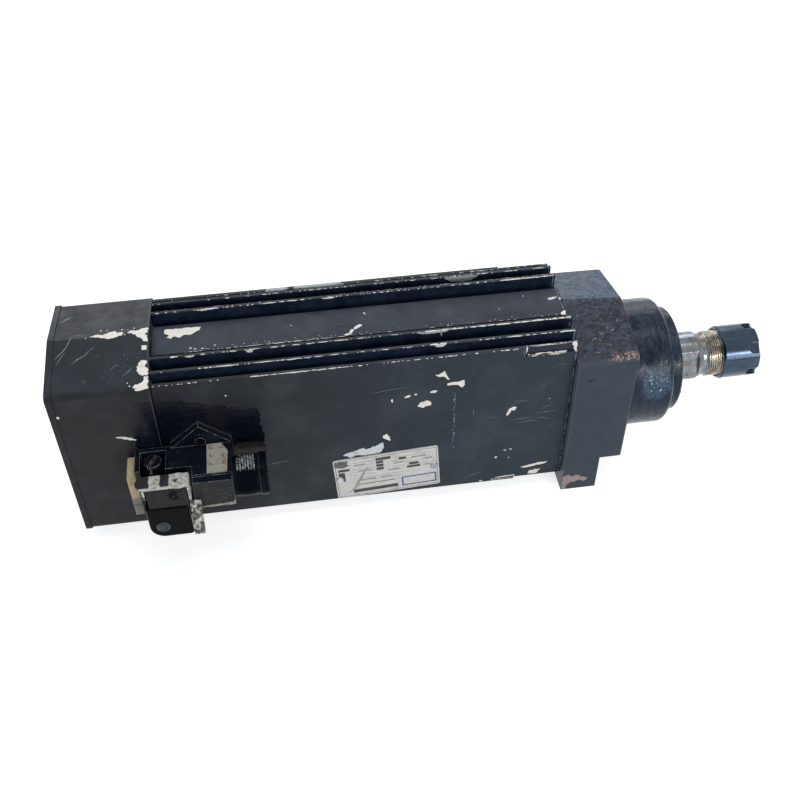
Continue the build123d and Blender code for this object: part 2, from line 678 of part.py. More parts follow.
ear_holes = [(con_x, con_z - ear_z), (con_x, con_z + ear_z)]
with BuildPart() as connector_gasket:
    with BuildSketch(facing(-body_half_w)):
        with Locations((con_x, con_z)):
            flange_outline(gasket_proud)
            Circle(duct_r, mode=Mode.SUBTRACT)
        with Locations(*ear_holes):
            Circle(ear_screw_r + 0.2, mode=Mode.SUBTRACT)
    extrude(amount=gasket_thk)
finish(connector_gasket, "connector_gasket")

block_w, block_h = block_right - block_left, block_top - block_bottom
notch_right = hood_right + 4.0
block_mid_x, block_mid_z = (block_left + block_right) / 2, (block_top + block_bottom) / 2
with BuildPart() as connector_housing:
    with BuildSketch(facing(flange_y)):
        with Locations((con_x, con_z)):
            flange_outline(0)
    extrude(amount=flange_thk)
    with BuildSketch(facing(con_back)) as block_face:
        with Locations((block_mid_x, block_mid_z)):
            Rectangle(block_w, block_h)
        fillet(block_face.vertices().group_by(Axis.X)[-1], 1.5)
    extrude(amount=con_back - con_front)
    # stepped seat for the lid along the top front edge
    with BuildSketch(Plane.XY.offset(block_top)):
        with Locations((block_mid_x, con_front + 2.5)):
            Rectangle(block_w, 5)
    extrude(amount=-1.6, mode=Mode.SUBTRACT)
    # bay that takes the plug, open above and in front
    with BuildSketch(facing(bay_back)):
        with Locations(((bay_left + block_left + con_wall) / 2, (block_top + bay_bottom) / 2)):
            Rectangle(block_left + con_wall - bay_left, block_top - bay_bottom)
        with Locations(((block_left + notch_right) / 2, (block_bottom + bay_bottom + 1) / 2)):
            Rectangle(notch_right - block_left, block_bottom + 1 - bay_bottom)
    extrude(amount=bay_back - bay_front)
    with BuildSketch(facing(bay_back - bay_wall)):
        with Locations(((bay_left + bay_wall + block_left) / 2, (block_top + bay_bottom + bay_wall) / 2)):
            Rectangle(block_left - bay_left - bay_wall, block_top - bay_bottom - bay_wall)
        with Locations(((block_left + notch_right) / 2 - bay_wall, (block_bottom + bay_bottom + bay_wall) / 2)):
            Rectangle(notch_right - block_left, block_bottom - bay_bottom - bay_wall)
    extrude(amount=bay_depth, mode=Mode.SUBTRACT)
    # corner taken out of the block for the plug and its lever
    with BuildSketch(Plane.XY.offset(block_top)):
        with Locations(((bay_left + notch_right) / 2, (bay_front + con_front) / 2 - 1)):
            Rectangle(notch_right - bay_left, bay_front - con_front + 2)
    extrude(amount=-block_h, mode=Mode.SUBTRACT)
    # room for the contacts, reached through the duct
    with BuildSketch(facing(flange_y)):
        with Locations((con_x, con_z)):
            Circle(duct_r)
    extrude(amount=flange_thk, mode=Mode.SUBTRACT)
    with BuildSketch(facing(con_back)):
        with Locations(((notch_right + block_right) / 2, block_mid_z)):
            Rectangle(block_right - notch_right - 2 * con_wall, block_h - 2 * con_wall)
    extrude(amount=con_back - con_front - con_wall, mode=Mode.SUBTRACT)
    with BuildSketch(across(block_right)):
        with Locations((entry_y, con_z)):
            Circle(entry_neck_r + seat_gap)
    extrude(amount=-con_wall, mode=Mode.SUBTRACT)
    with BuildSketch(facing(flange_y)):
        with Locations(*ear_holes):
            Circle(ear_screw_r + 0.2)
    extrude(amount=flange_thk, mode=Mode.SUBTRACT)
finish(connector_housing, "connector_housing")

with BuildPart() as connector_screws:
    with BuildSketch(facing(con_back)):
        with Locations(*ear_holes):
            Circle(1.8 * ear_screw_r)
    extrude(amount=2.4, taper=8)
    with BuildSketch(facing(con_back)):
        with Locations(*ear_holes):
            Circle(ear_screw_r)
    extrude(amount=-flange_thk - gasket_thk - ear_screw_len + 1)
finish(connector_screws, "connector_screws")

with BuildPart() as cable_entry:
    with BuildSketch(across(block_right)):
        with Locations((entry_y, con_z)):
            Circle(entry_r)
    extrude(amount=entry_end - block_right)
    with BuildSketch(across(entry_end)):
        with Locations((entry_y, con_z)):
            Circle(entry_lip_r)
    extrude(amount=-entry_lip)
    with BuildSketch(across(block_right)):
        with Locations((entry_y, con_z)):
            Circle(entry_neck_r)
    extrude(amount=-con_wall)
    with BuildSketch(across(entry_end)):
        with Locations((entry_y, con_z)):
            Circle(entry_bore_r)
    extrude(amount=block_right - entry_end + 2, mode=Mode.SUBTRACT)
    with BuildSketch(across(block_right - con_wall)):
        with Locations((entry_y, con_z)):
            Circle(entry_neck_r - 1.5)
    extrude(amount=con_wall + 2, mode=Mode.SUBTRACT)
finish(cable_entry, "cable_entry")

insert_left, insert_right = notch_right + con_wall + seat_gap, block_right - 10.0
pin_rows, pin_columns, pin_pitch, contact_r, contact_len = 3, 2, 5.0, 1.2, 6.0
insert_back = con_back - 6.0
insert_deep = 16.0
with BuildPart() as contact_insert:
    with BuildSketch(facing(insert_back)):
        with Locations(((insert_left + insert_right) / 2, block_mid_z)):
            Rectangle(insert_right - insert_left, block_h - 2 * con_wall - 2 * seat_gap)
    extrude(amount=insert_deep)
    with BuildSketch(across(insert_right)):
        with Locations((insert_back - insert_deep / 2, block_mid_z)):
            with GridLocations(pin_pitch, pin_pitch, pin_columns, pin_rows):
                Circle(contact_r + seat_gap)
    extrude(amount=-contact_len, mode=Mode.SUBTRACT)
finish(contact_insert, "contact_insert")

with BuildPart() as contact_pins:
    with BuildSketch(across(insert_right - contact_len + 0.5)):
        with Locations((insert_back - insert_deep / 2, block_mid_z)):
            with GridLocations(pin_pitch, pin_pitch, pin_columns, pin_rows):
                Circle(contact_r)
    extrude(amount=contact_len + 3)
finish(contact_pins, "contact_pins")

with BuildPart() as bay_screw:
    with BuildSketch(Plane.XY.offset(bay_bottom + bay_wall)):
        with Locations((cap_x, cap_y)):
            Circle(cap_r - 2)
    extrude(amount=cap_top - 6 - bay_bottom - bay_wall)
    with BuildSketch(Plane.XY.offset(cap_top - 6)):
        with Locations((cap_x, cap_y)):
            Circle(cap_r)
    extrude(amount=6)
    chamfer(bay_screw.edges().group_by(Axis.Z)[-1], 0.6)
    with BuildSketch(Plane.XY.offset(cap_top)):
        with Locations(Location((cap_x, cap_y, 0), (0, 0, 62))):
            Rectangle(3 * cap_r, 1.4)
    extrude(amount=-1.6, mode=Mode.SUBTRACT)
finish(bay_screw, "bay_screw")

# ------------------------------------------------------------------ plug, hood and lever
hood_screw_x, hood_screw_r, hood_screw_len = -282.1, 3.2, 9.0
with BuildPart() as plug_body:
    with BuildSketch(facing(bay_front)) as plug_face:
        with Locations(((plug_left + hood_right) / 2, (hood_low + plug_low) / 2)):
            Rectangle(hood_right - plug_left, hood_low - plug_low)
        fillet(plug_face.vertices().group_by(Axis.X)[0].sort_by(Axis.Y)[0], plug_round)
        fillet(plug_face.vertices().group_by(Axis.X)[-1].sort_by(Axis.Y)[0], 2)
    extrude(amount=bay_front - plug_front)
    fillet(plug_body.faces().sort_by(Axis.Y)[0].edges(), 1.2)
finish(plug_body, "plug_body")

disc_x, disc_z, disc_r = -292.2, -20.4, 4.2
with BuildPart() as plug_disc:
    with BuildSketch(facing(plug_front)):
        with Locations((disc_x, disc_z)):
            Circle(disc_r)
    extrude(amount=0.8)
    fillet(plug_disc.edges().group_by(Axis.Y)[0], 0.4)
finish(plug_disc, "plug_disc")

with BuildPart() as plug_hood:
    hood_back = pivot_y + swing_r
    with BuildSketch(across(hood_left)) as hood_section:
        with Locations(((hood_front + hood_back) / 2, (hood_low + hood_top) / 2)):
            Rectangle(hood_back - hood_front, hood_top - hood_low)
        fillet(hood_section.vertices().sort_by(Axis.Y)[-2:].sort_by(Axis.X)[-1], swing_r - 0.01)
        fillet(hood_section.vertices().group_by(Axis.X)[0], 0.8)
    extrude(amount=hood_right - hood_left)
    for end in (hood_left, hood_right):
        with BuildSketch(across(end)):
            with Locations((pivot_y, pivot_z)):
                Circle(pivot_r + seat_gap)
        extrude(amount=4, both=True, mode=Mode.SUBTRACT)
    with BuildSketch(facing(hood_front)):
        with Locations((hood_screw_x, pivot_z)):
            Circle(hood_screw_r / 2 + seat_gap)
    extrude(amount=-hood_screw_len, mode=Mode.SUBTRACT)
finish(plug_hood, "plug_hood")

with BuildPart() as hood_screw:
    with BuildSketch(facing(hood_front)):
        with Locations((hood_screw_x, pivot_z)):
            Circle(hood_screw_r)
    extrude(amount=0.8)
    with BuildSketch(facing(hood_front)):
        with Locations((hood_screw_x, pivot_z)):
            Circle(hood_screw_r / 2)
    extrude(amount=-hood_screw_len + 0.5)
    with BuildSketch(facing(hood_front - 0.8)):
        with Locations(Location((hood_screw_x, pivot_z, 0), (0, 0, 35))):
            Rectangle(3 * hood_screw_r, 0.9)
    extrude(amount=-0.6, mode=Mode.SUBTRACT)
finish(hood_screw, "hood_screw")

arm_gap = 0.9
window_x, window_r = -280.4, 2.4
lever_hub_x, lever_hub_depth, lever_hub_r, lever_hub_thk = -278.7, 32.4, 5.2, 2.2
lever_hub_y = -body_half_w - lever_hub_depth
arm_right = hood_right + arm_gap
arm_left = hood_left - arm_gap - lever_thk
with BuildPart() as lever_pins:
    for outer, inner in ((arm_left - 0.6, hood_left + 3), (arm_right + lever_thk + 0.6, hood_right - 3)):
        with BuildSketch(across(outer)):
            with Locations((pivot_y, pivot_z)):
                Circle(pivot_r)
        extrude(amount=inner - outer)
finish(lever_pins, "lever_pins")

with BuildPart() as locking_lever:
    # flat bar over the hood, round at its free end
    with BuildSketch(Plane.XY.offset(lever_top - lever_thk)):
        bar_half = (lever_back - lever_front) / 2
        bar_y = (lever_back + lever_front) / 2
        with Locations((lever_left + bar_half, bar_y)):
            Circle(bar_half)
        with Locations(((lever_left + bar_half + arm_right + lever_thk) / 2, bar_y)):
            Rectangle(arm_right + lever_thk - lever_left - bar_half, 2 * bar_half)
    extrude(amount=lever_thk)
    # round hub on the bar, with a three-cornered window through both
    with BuildSketch(Plane.XY.offset(lever_top - lever_thk)):
        with Locations((lever_hub_x, lever_hub_y)):
            Circle(lever_hub_r)
    extrude(amount=lever_hub_thk)
    with BuildSketch(Plane.XY.offset(lever_top - lever_thk)):
        with Locations((window_x, lever_hub_y)):
            RegularPolygon(window_r, 3, rotation=-90)
    extrude(amount=lever_hub_thk, mode=Mode.SUBTRACT)
    # arms down to the pivot eyes
    for arm_start in (arm_left, arm_right):
        with BuildSketch(across(arm_start)):
            Polygon((lever_front, lever_top), (lever_back, lever_top), (pivot_y + eye_r, pivot_z),
                    (pivot_y - eye_r, pivot_z), align=None)
            with Locations((pivot_y, pivot_z)):
                Circle(eye_r)
                Circle(pivot_r + pivot_gap, mode=Mode.SUBTRACT)
        extrude(amount=lever_thk)
    # handle: the right arm runs on down and is bent out to the right
    with BuildSketch(across(arm_right)):
        Polygon((pivot_y - eye_r, pivot_z), (pivot_y - 1, pivot_z - 3.2), (lever_low_y + lever_thk, lever_low_z),
                (handle_y + lever_thk, handle_z), (handle_y, handle_z), (lever_low_y - 0.6, lever_low_z),
                align=None)
    extrude(amount=lever_thk)
    with BuildSketch(across(arm_right)):
        Polygon((lever_low_y + 0.4, lever_low_z), (handle_y + lever_thk, handle_z),
                (handle_y, handle_z), (lever_low_y - 0.6, lever_low_z), align=None)
    extrude(amount=handle_w)
finish(locking_lever, "locking_lever")

with BuildPart() as end_plate:
    with BuildSketch(facing(bay_back)):
        with Locations((bay_left - end_plate_thk / 2, (end_plate_top + end_plate_low) / 2)):
            Rectangle(end_plate_thk, end_plate_top - end_plate_low)
    extrude(amount=end_plate_depth)
    fillet(end_plate.edges().filter_by(Axis.Z).group_by(Axis.X)[0], 1.2)
finish(end_plate, "end_plate")

with BuildPart() as marker_tag:
    with BuildSketch(Plane.XY.offset(block_top)):
        with Locations((0, -body_half_w)):
            Polygon((-262.2, -5.5), (-253.7, -5.5), (-250.0, -12.0), (-250.8, -28.2), (-262.4, -28.2),
                    align=None)
    extrude(amount=tag_thk)
finish(marker_tag, "marker_tag")
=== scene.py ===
"""Looks of the motor spindle: paint, bare steel, moulded plastic and the small details."""
import json
import math
import random

import bmesh
import bpy
from mathutils import Matrix, Vector
from mathutils.bvhtree import BVHTree
from mathutils.geometry import tessellate_polygon


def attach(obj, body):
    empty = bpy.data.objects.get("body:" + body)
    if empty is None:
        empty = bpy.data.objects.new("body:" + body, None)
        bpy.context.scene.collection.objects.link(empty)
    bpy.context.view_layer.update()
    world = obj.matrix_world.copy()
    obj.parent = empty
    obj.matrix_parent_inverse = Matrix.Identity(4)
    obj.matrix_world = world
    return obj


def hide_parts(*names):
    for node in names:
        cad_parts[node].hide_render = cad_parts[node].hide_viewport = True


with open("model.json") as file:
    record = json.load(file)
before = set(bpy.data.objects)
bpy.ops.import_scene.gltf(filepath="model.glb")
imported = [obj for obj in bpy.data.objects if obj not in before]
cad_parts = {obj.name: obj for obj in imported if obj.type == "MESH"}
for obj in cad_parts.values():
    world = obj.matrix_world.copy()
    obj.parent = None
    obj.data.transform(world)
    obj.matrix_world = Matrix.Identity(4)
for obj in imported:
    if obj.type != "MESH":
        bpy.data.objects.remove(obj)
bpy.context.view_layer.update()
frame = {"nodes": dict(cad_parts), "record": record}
NODES = frame["nodes"]
MM = 0.001                     # sizes are in millimetres unless a line says metres


def new_object(name, data):
    """A new object of the scene, with this mesh, lamp or camera."""
    obj = bpy.data.objects.new(name, data)
    bpy.context.scene.collection.objects.link(obj)
    return obj


# ------------------------------ node materials
def srgb(red, green, blue):
    """Linear colour of an 8-bit sRGB triple."""
    parts = (c / 255 for c in (red, green, blue))
    return tuple(((c + 0.055) / 1.055) ** 2.4 if c > 0.04 else c / 12.92 for c in parts)


class Shader:
    """Builds one node material, whose coordinates are the model's own millimetres."""

    def __init__(self, name, soft=None, level=0.5, metallic=0.0):
        """Sharp edges catch the light as if they were rounded to `soft` millimetres."""
        self.mat = bpy.data.materials.new(name)
        self.mat.use_nodes = True
        self.tree = self.mat.node_tree
        self.bsdf = self.tree.nodes["Principled BSDF"]
        self.bsdf.inputs["Metallic"].default_value = metallic
        self.bsdf.inputs["Specular IOR Level"].default_value = level
        coords = self.node("TexCoord")
        scale = self.node("VectorMath", "SCALE", Scale=1 / MM)
        self.link(coords.outputs["Object"], scale.inputs[0])
        self.place = scale.outputs["Vector"]
        if soft:
            self.link(self.bevelled(soft), self.bsdf.inputs["Normal"])

    def node(self, kind, operation=None, **values):
        """A new node of the material, with its operation and the values of its sockets."""
        node = self.tree.nodes.new("ShaderNode" + kind)
        if operation:
            node.operation = operation
        for key, value in values.items():
            node.inputs[key].default_value = value
        return node

    def link(self, source, socket):
        """Links an output to a socket."""
        self.tree.links.new(source, socket)

    def put(self, value, socket):
        """Links an output to a socket, or sets a plain value on it."""
        if hasattr(value, "is_linked"):
            self.link(value, socket)
        elif hasattr(value, "__len__"):    # whole numbers are an 8-bit colour, fractions a linear one
            colour = srgb(*value) if isinstance(value[0], int) else value
            socket.default_value = (*colour, 1.0)
        else:
            socket.default_value = value

    def math(self, operation, *values):
        """The result of a math node on numbers and outputs."""
        node = self.node("Math", operation)
        for value, socket in zip(values, node.inputs):
            self.put(value, socket)
        return node.outputs[0]

    def axes(self):
        """The x, y and z of the coordinates."""
        node = self.node("SeparateXYZ")
        self.link(self.place, node.inputs[0])
        return node.outputs

    def stretched(self, factors):
        """The coordinates, each axis multiplied by its factor."""
        node = self.node("VectorMath", "MULTIPLY")
        self.link(self.place, node.inputs[0])
        node.inputs[1].default_value = factors
        return node.outputs["Vector"]

    def noise(self, size, detail=4, rough=0.6, stretch=None, seed=0, distortion=0):
        """Noise with features about `size` millimetres across."""
        node = self.node("TexNoise", Scale=1 / size, Detail=detail, Roughness=rough, Distortion=distortion)
        node.noise_dimensions = "4D"
        node.inputs["W"].default_value = seed
        self.link(self.stretched(stretch) if stretch else self.place, node.inputs["Vector"])
        return node.outputs["Fac"]

    def step(self, value, low, high, out_low=0, out_high=1):
        """Smoothly maps low..high to out_low..out_high."""
        limits = {"From Min": low, "From Max": high, "To Min": out_low, "To Max": out_high}
        node = self.node("MapRange", **limits)
        node.interpolation_type = "SMOOTHSTEP"
        self.put(value, node.inputs["Value"])
        return node.outputs["Result"]

    def mix(self, share, first, second):
        """From the first colour at share 0 to the second at share 1."""
        node = self.node("Mix")
        node.data_type = "RGBA"
        for value, key in ((share, "Factor"), (first, 6), (second, 7)):
            self.put(value, node.inputs[key])
        return node.outputs[2]

    def bevelled(self, radius):
        """The normal that the surface would have with its edges rounded to this radius."""
        bevel = self.node("Bevel", Radius=radius * MM)
        bevel.samples = 4
        return bevel.outputs["Normal"]

    def edge(self, radius):
        """1 along sharp edges, from the difference between the true and a bevelled normal."""
        rounded = self.bevelled(radius)
        geometry = self.node("NewGeometry")
        dot = self.node("VectorMath", "DOT_PRODUCT")
        self.link(rounded, dot.inputs[0])
        self.link(geometry.outputs["Normal"], dot.inputs[1])
        return self.step(self.math("SUBTRACT", 1, dot.outputs["Value"]), 0.02, 0.25)

    def bump(self, height, distance, strength):
        """Adds a bump on top of what already tilts the normal."""
        node = self.node("Bump", Distance=distance * MM, Strength=strength)
        self.put(height, node.inputs["Height"])
        if self.bsdf.inputs["Normal"].is_linked:
            self.link(self.bsdf.inputs["Normal"].links[0].from_socket, node.inputs["Normal"])
        self.link(node.outputs["Normal"], self.bsdf.inputs["Normal"])

    def paint(self, colour, roughness):
        """Gives the surface its colour and roughness."""
        self.put(colour, self.bsdf.inputs["Base Color"])
        self.put(roughness, self.bsdf.inputs["Roughness"])

    def between(self, value, low, high, soft=0.3):
        """1 where value lies between low and high."""
        above = self.step(value, low - soft, low + soft)
        return self.math("MULTIPLY", above, self.step(value, high + soft, high - soft))

    def all_of(self, *masks):
        """The product of the masks, and of any height they limit."""
        total = masks[0]
        for mask in masks[1:]:
            total = self.math("MULTIPLY", total, mask)
        return total

    def around(self, place, radius, soft, ragged=0, seed=0):
        """1 within `radius` of a point, with an uneven border."""
        node = self.node("VectorMath", "DISTANCE")
        self.link(self.place, node.inputs[0])
        node.inputs[1].default_value = place
        away = node.outputs["Value"]
        if ragged:
            away = self.math("MULTIPLY_ADD", self.noise(4, 4, 0.6, seed=seed), ragged, away)
            away = self.math("SUBTRACT", away, ragged / 2)
        return self.step(away, radius + soft, radius - soft)


PRIMER = (232, 226, 214), (176, 170, 158)
SIDE_Y = -39.0                 # faces nearer the viewer than this belong to the near side
BODY_REAR, BODY_FRONT = -288, -38

# the glossy black that was brushed round the connector: its borders, and the line of its upper one in x
PATCH_REAR, PATCH_FRONT, PATCH_LOW = -304, -227, -33
PATCH_SLOPE, PATCH_TOP = -0.27, -29.4

# the rows of fins: beyond this distance from the middle, their tips are higher by this much
STRIP_TOP = 57.3
TIP_STEPS = (16, 4.9), (26, -1.4), (35, -3.3)


def brushed(s, base):
    """The brushed patch as a mask, and the paint with it."""
    x, y, z = s.axes()
    top_gap = s.math("SUBTRACT", s.math("MULTIPLY_ADD", x, PATCH_SLOPE, PATCH_TOP), z)
    inside = s.math("MINIMUM", top_gap, s.math("SUBTRACT", PATCH_FRONT, x))
    inside = s.math("MINIMUM", inside, s.math("ADD", x, -PATCH_REAR))
    inside = s.math("MINIMUM", inside, s.math("ADD", z, -PATCH_LOW))
    uneven = s.noise(7, 6, 0.68, (1, 1, 0.6), seed=31)
    inside = s.math("ADD", inside, s.math("MULTIPLY_ADD", uneven, 16, -8))
    patch = s.all_of(s.step(inside, -0.3, 0.7), s.math("LESS_THAN", y, SIDE_Y))
    gloss = s.mix(s.step(s.noise(5, 5, 0.7, seed=33), 0.5, 0.75), (9, 14, 24), (22, 29, 41))
    return patch, s.mix(patch, base, gloss)


def brushed_finish(s, base, rough, patch, glossy, size, height, seed):
    """Finishes a paint that has the patch: glossy there, with orange peel and brush marks."""
    s.paint(base, s.mix(glossy, rough, (0.2, 0.2, 0.2)))
    s.bump(s.noise(size, 4, 0.6, seed=seed), height, 0.5)
    s.bump(s.noise(1, 3, 0.6, seed=seed + 1), 0.03, 0.4)
    s.bump(s.all_of(s.noise(5, 5, 0.62, (0.5, 1, 1.4), seed=35), patch), 0.35, 0.9)
    return s.mat


def old_paint(s, flat, rough, seed, cloud=0.35):
    """Shared ageing of the paints: clouds, dusty scuffs, dark pits and uneven gloss."""
    lighter = (66, 72, 78) if hasattr(flat, "is_linked") else tuple(1.45 * c + 0.006 for c in srgb(*flat))
    clouds = s.noise(30, 6, 0.62, seed=seed)
    base = s.mix(s.step(clouds, 0.42, 0.72, 0, cloud), flat, lighter)
    scuff = s.noise(2.4, 5, 0.78, (0.28, 1, 1), seed=seed + 1, distortion=0.4)
    base = s.mix(s.step(scuff, 0.63, 0.76, 0, 0.5), base, (92, 97, 103))
    pits = s.noise(1.7, 3, 0.6, seed=seed + 2)
    base = s.mix(s.step(pits, 0.30, 0.25, 0, 0.6), base, (12, 15, 20))
    spread = s.noise(11, 5, 0.65, seed=seed + 3)
    roughness = s.step(spread, 0.3, 0.7, rough - 0.07, rough + 0.11)
    return base, roughness


def edge_wear_and_glint(s, base, radius, share, tone, seed):
    """Lightened edges: partly rubbed wear, partly a painted highlight where sharp edges catch the light."""
    rubbed = s.all_of(s.edge(radius), s.step(s.noise(3.2, 4, 0.7, seed=seed), 0.4, 0.6, 0.15, share))
    return s.mix(rubbed, base, tone)


def body_paint():
    """Satin black on the flats; in the grooves glossier and a darker navy as painted shade, with painted
    glints; rubbed bare along the fin tips.
    """
    s = Shader("body_paint", 0.5, 0.2)
    x, y, z = s.axes()
    height, reach = s.math("ABSOLUTE", z), s.math("ABSOLUTE", y)
    tip = STRIP_TOP
    for beyond, rise in TIP_STEPS:
        tip = s.math("MULTIPLY_ADD", s.math("GREATER_THAN", reach, beyond), rise, tip)
    below = s.math("SUBTRACT", tip, height)
    groove = s.all_of(s.step(below, 0.05, 0.6), s.step(reach, 39.7, 39.4))
    along = s.step(x, -290, -60)
    flat = s.mix(along, (20, 23, 28), (31, 42, 51))
    flat = s.mix(s.math("LESS_THAN", reach, 13.2), flat, (18, 27, 43))
    base, rough = old_paint(s, flat, 0.42, seed=2)
    scrape = s.noise(5.5, 6, 0.75, (0.35, 1, 1.2), seed=21, distortion=0.8)
    scraped = s.all_of(s.step(scrape, 0.57, 0.66, 0, 0.45), s.step(x, -170, -70), s.step(reach, 39.4, 39.7))
    base = s.mix(scraped, base, (74, 82, 92))
    # painted shade: the grooves between the fins get a darker navy
    painted_groove_shade = s.mix(s.step(s.noise(9, 5, 0.65, seed=22), 0.35, 0.65), (20, 28, 44), (34, 44, 60))
    base = s.mix(groove, base, painted_groove_shade)
    # painted highlights: small pale glints in the grooves
    painted_groove_glints = s.step(s.noise(1.5, 3, 0.6, seed=23), 0.71, 0.75, 0, 0.8)
    base = s.mix(s.all_of(painted_groove_glints, groove), base, (120, 122, 122))
    ends = s.all_of(s.edge(0.5), s.step(x, -40.5, -38.5, 0, 0.7))
    ends = s.all_of(ends, s.step(s.noise(2.2, 4, 0.7, seed=9), 0.42, 0.52))
    patch, base = brushed(s, s.mix(ends, base, PRIMER[0]))
    # painted shade: the wall behind the cable entry stub is darkened to near black
    painted_stub_shade = s.all_of(patch, s.between(z, -12, 8.6, 0.8), s.between(x, -252, -227, 0.4))
    base = s.mix(painted_stub_shade, base, (2, 4, 9))
    # painted shade: dark lines in the joints at the body's front and rear ends
    painted_seam_shade = s.math("MAXIMUM", s.between(x, BODY_FRONT - 0.3, BODY_FRONT + 1, 0.08),
                  s.between(x, BODY_REAR - 1, BODY_REAR + 0.45, 0.08))
    base = s.mix(painted_seam_shade, base, (6, 8, 12))
    pale = s.all_of(s.between(x, -39.5, -38.9, 0.12), s.step(s.noise(3, 4, 0.7, seed=36), 0.45, 0.55, 0, 0.7))
    base = s.mix(pale, base, (140, 146, 150))
    return brushed_finish(s, base, rough, patch, s.math("MAXIMUM", groove, patch), 4.5, 0.06, seed=13)


def cowl_paint():
    """Duller black on the cowl's sides, blue-black and scuffed on its roof, whose two halves are painted as
    lit and shaded, with a pale rear lip; painted shade along the bend and in the front gap.
    """
    s = Shader("cowl_paint", 0.5, 0.2)
    x, y, z = s.axes()
    roof = s.step(z, 56.5, 59)
    # painted light and shade: the near and far halves of the roof get a lighter and a darker tone of one
    # paint
    flat = s.mix(roof, (27, 27, 29), s.mix(s.step(y, 2, 14), (22, 29, 36), (15, 21, 27)))
    base, rough = old_paint(s, flat, 0.46, seed=41, cloud=0.22)
    wear = s.noise(9, 6, 0.8, (0.7, 1.4, 1), seed=44, distortion=1)
    wear = s.all_of(s.step(wear, 0.57, 0.67, 0, 0.3), roof)
    base = s.mix(wear, base, (84, 90, 96))
    base = edge_wear_and_glint(s, base, 0.8, 0.6, (88, 94, 100), seed=46)
    patch, base = brushed(s, base)
    lip = s.between(x, BODY_REAR - 0.9, BODY_REAR - 0.5, 0.1)
    base = s.mix(s.all_of(lip, s.step(z, -5, 45, 0.1, 0.8)), base, (76, 84, 92))
    # painted shade: a ragged dark band along the bend between roof and side
    painted_bend_shade = s.all_of(s.between(z, 55.6, 58.6, 0.5),
                    s.step(s.noise(4, 5, 0.7, (0.3, 1, 1), seed=45), 0.46, 0.58, 0, 0.8))
    base = s.mix(painted_bend_shade, base, (20, 23, 27))
    # painted shade: a dark line in the gap at the cowl's front edge
    base = s.mix(s.step(x, BODY_REAR - 0.35, BODY_REAR - 0.15), base, (7, 9, 12))
    return brushed_finish(s, base, rough, patch, patch, 6, 0.07, seed=47)


def casting_paint():
    """Paint over a cast shield: smooth sides, a rough and speckled gabled top whose far slope is painted
    lighter as a sheen, rust at the crease, and a rear face painted lighter as fill light.
    """
    s = Shader("casting_paint", 0.9, 0.24)
    x, y, z = s.axes()
    top = s.step(z, 43, 47)
    near, far = s.step(y, 4, -4), s.step(y, -4, 4)
    base, rough = old_paint(s, (43, 51, 62), 0.44, seed=51)
    cast = s.noise(2.8, 5, 0.62, (0.8, 1, 1), seed=53, distortion=0.8)
    slope = s.mix(s.step(cast, 0.40, 0.60), (9, 14, 25), (50, 59, 74))
    reddish = s.all_of(s.step(s.noise(6, 4, seed=54), 0.5, 0.65, 0, 0.3), near)
    slope = s.mix(reddish, slope, (64, 46, 52))
    # painted light: the far slope of the gabled top is painted lighter, a painted sheen
    slope = s.mix(far, slope, s.mix(s.step(cast, 0.38, 0.6), (36, 50, 68), (82, 97, 114)))
    fleck = s.noise(1.25, 3, 0.55, (0.55, 1.1, 1), seed=55, distortion=0.5)
    slope = s.mix(s.all_of(s.step(fleck, 0.665, 0.70, 0, 0.85), near), slope, (196, 196, 192))
    base = s.mix(top, base, slope)
    crease = s.all_of(s.between(z, 43.8, 48, 1.2), s.step(x, -22, -10), s.step(y, -38, -42),
                      s.step(s.noise(1.5, 5, 0.8, seed=56), 0.49, 0.56))
    rust = s.mix(s.step(s.noise(1.3, 3, seed=57), 0.4, 0.6), (150, 92, 66), (196, 176, 160))
    base = s.mix(crease, base, rust)
    ridge_spot = s.around((-2, -2, 58), 3, 0.8, 3, seed=58)
    ridge_spot = s.all_of(ridge_spot, s.step(s.noise(1.2, 3, seed=59), 0.4, 0.55))
    base = s.mix(ridge_spot, base, (150, 62, 56))
    base = edge_wear_and_glint(s, base, 0.9, 0.5, (104, 112, 122), seed=60)
    # painted light: the shield's rear face, shaded in the seam, is painted a lighter blue-grey
    base = s.mix(s.step(x, BODY_FRONT + 0.3, BODY_FRONT + 0.1), base, (104, 110, 122))
    s.paint(base, rough)
    s.bump(s.all_of(s.noise(7, 3, 0.5, seed=52), top), 1.6, 0.8)
    s.bump(s.all_of(cast, top), 1.2, 1)
    s.bump(s.noise(5, 4, 0.6, seed=61), 0.12, 0.5)
    s.bump(s.noise(0.9, 3, 0.6, seed=62), 0.04, 0.4)
    return s.mat


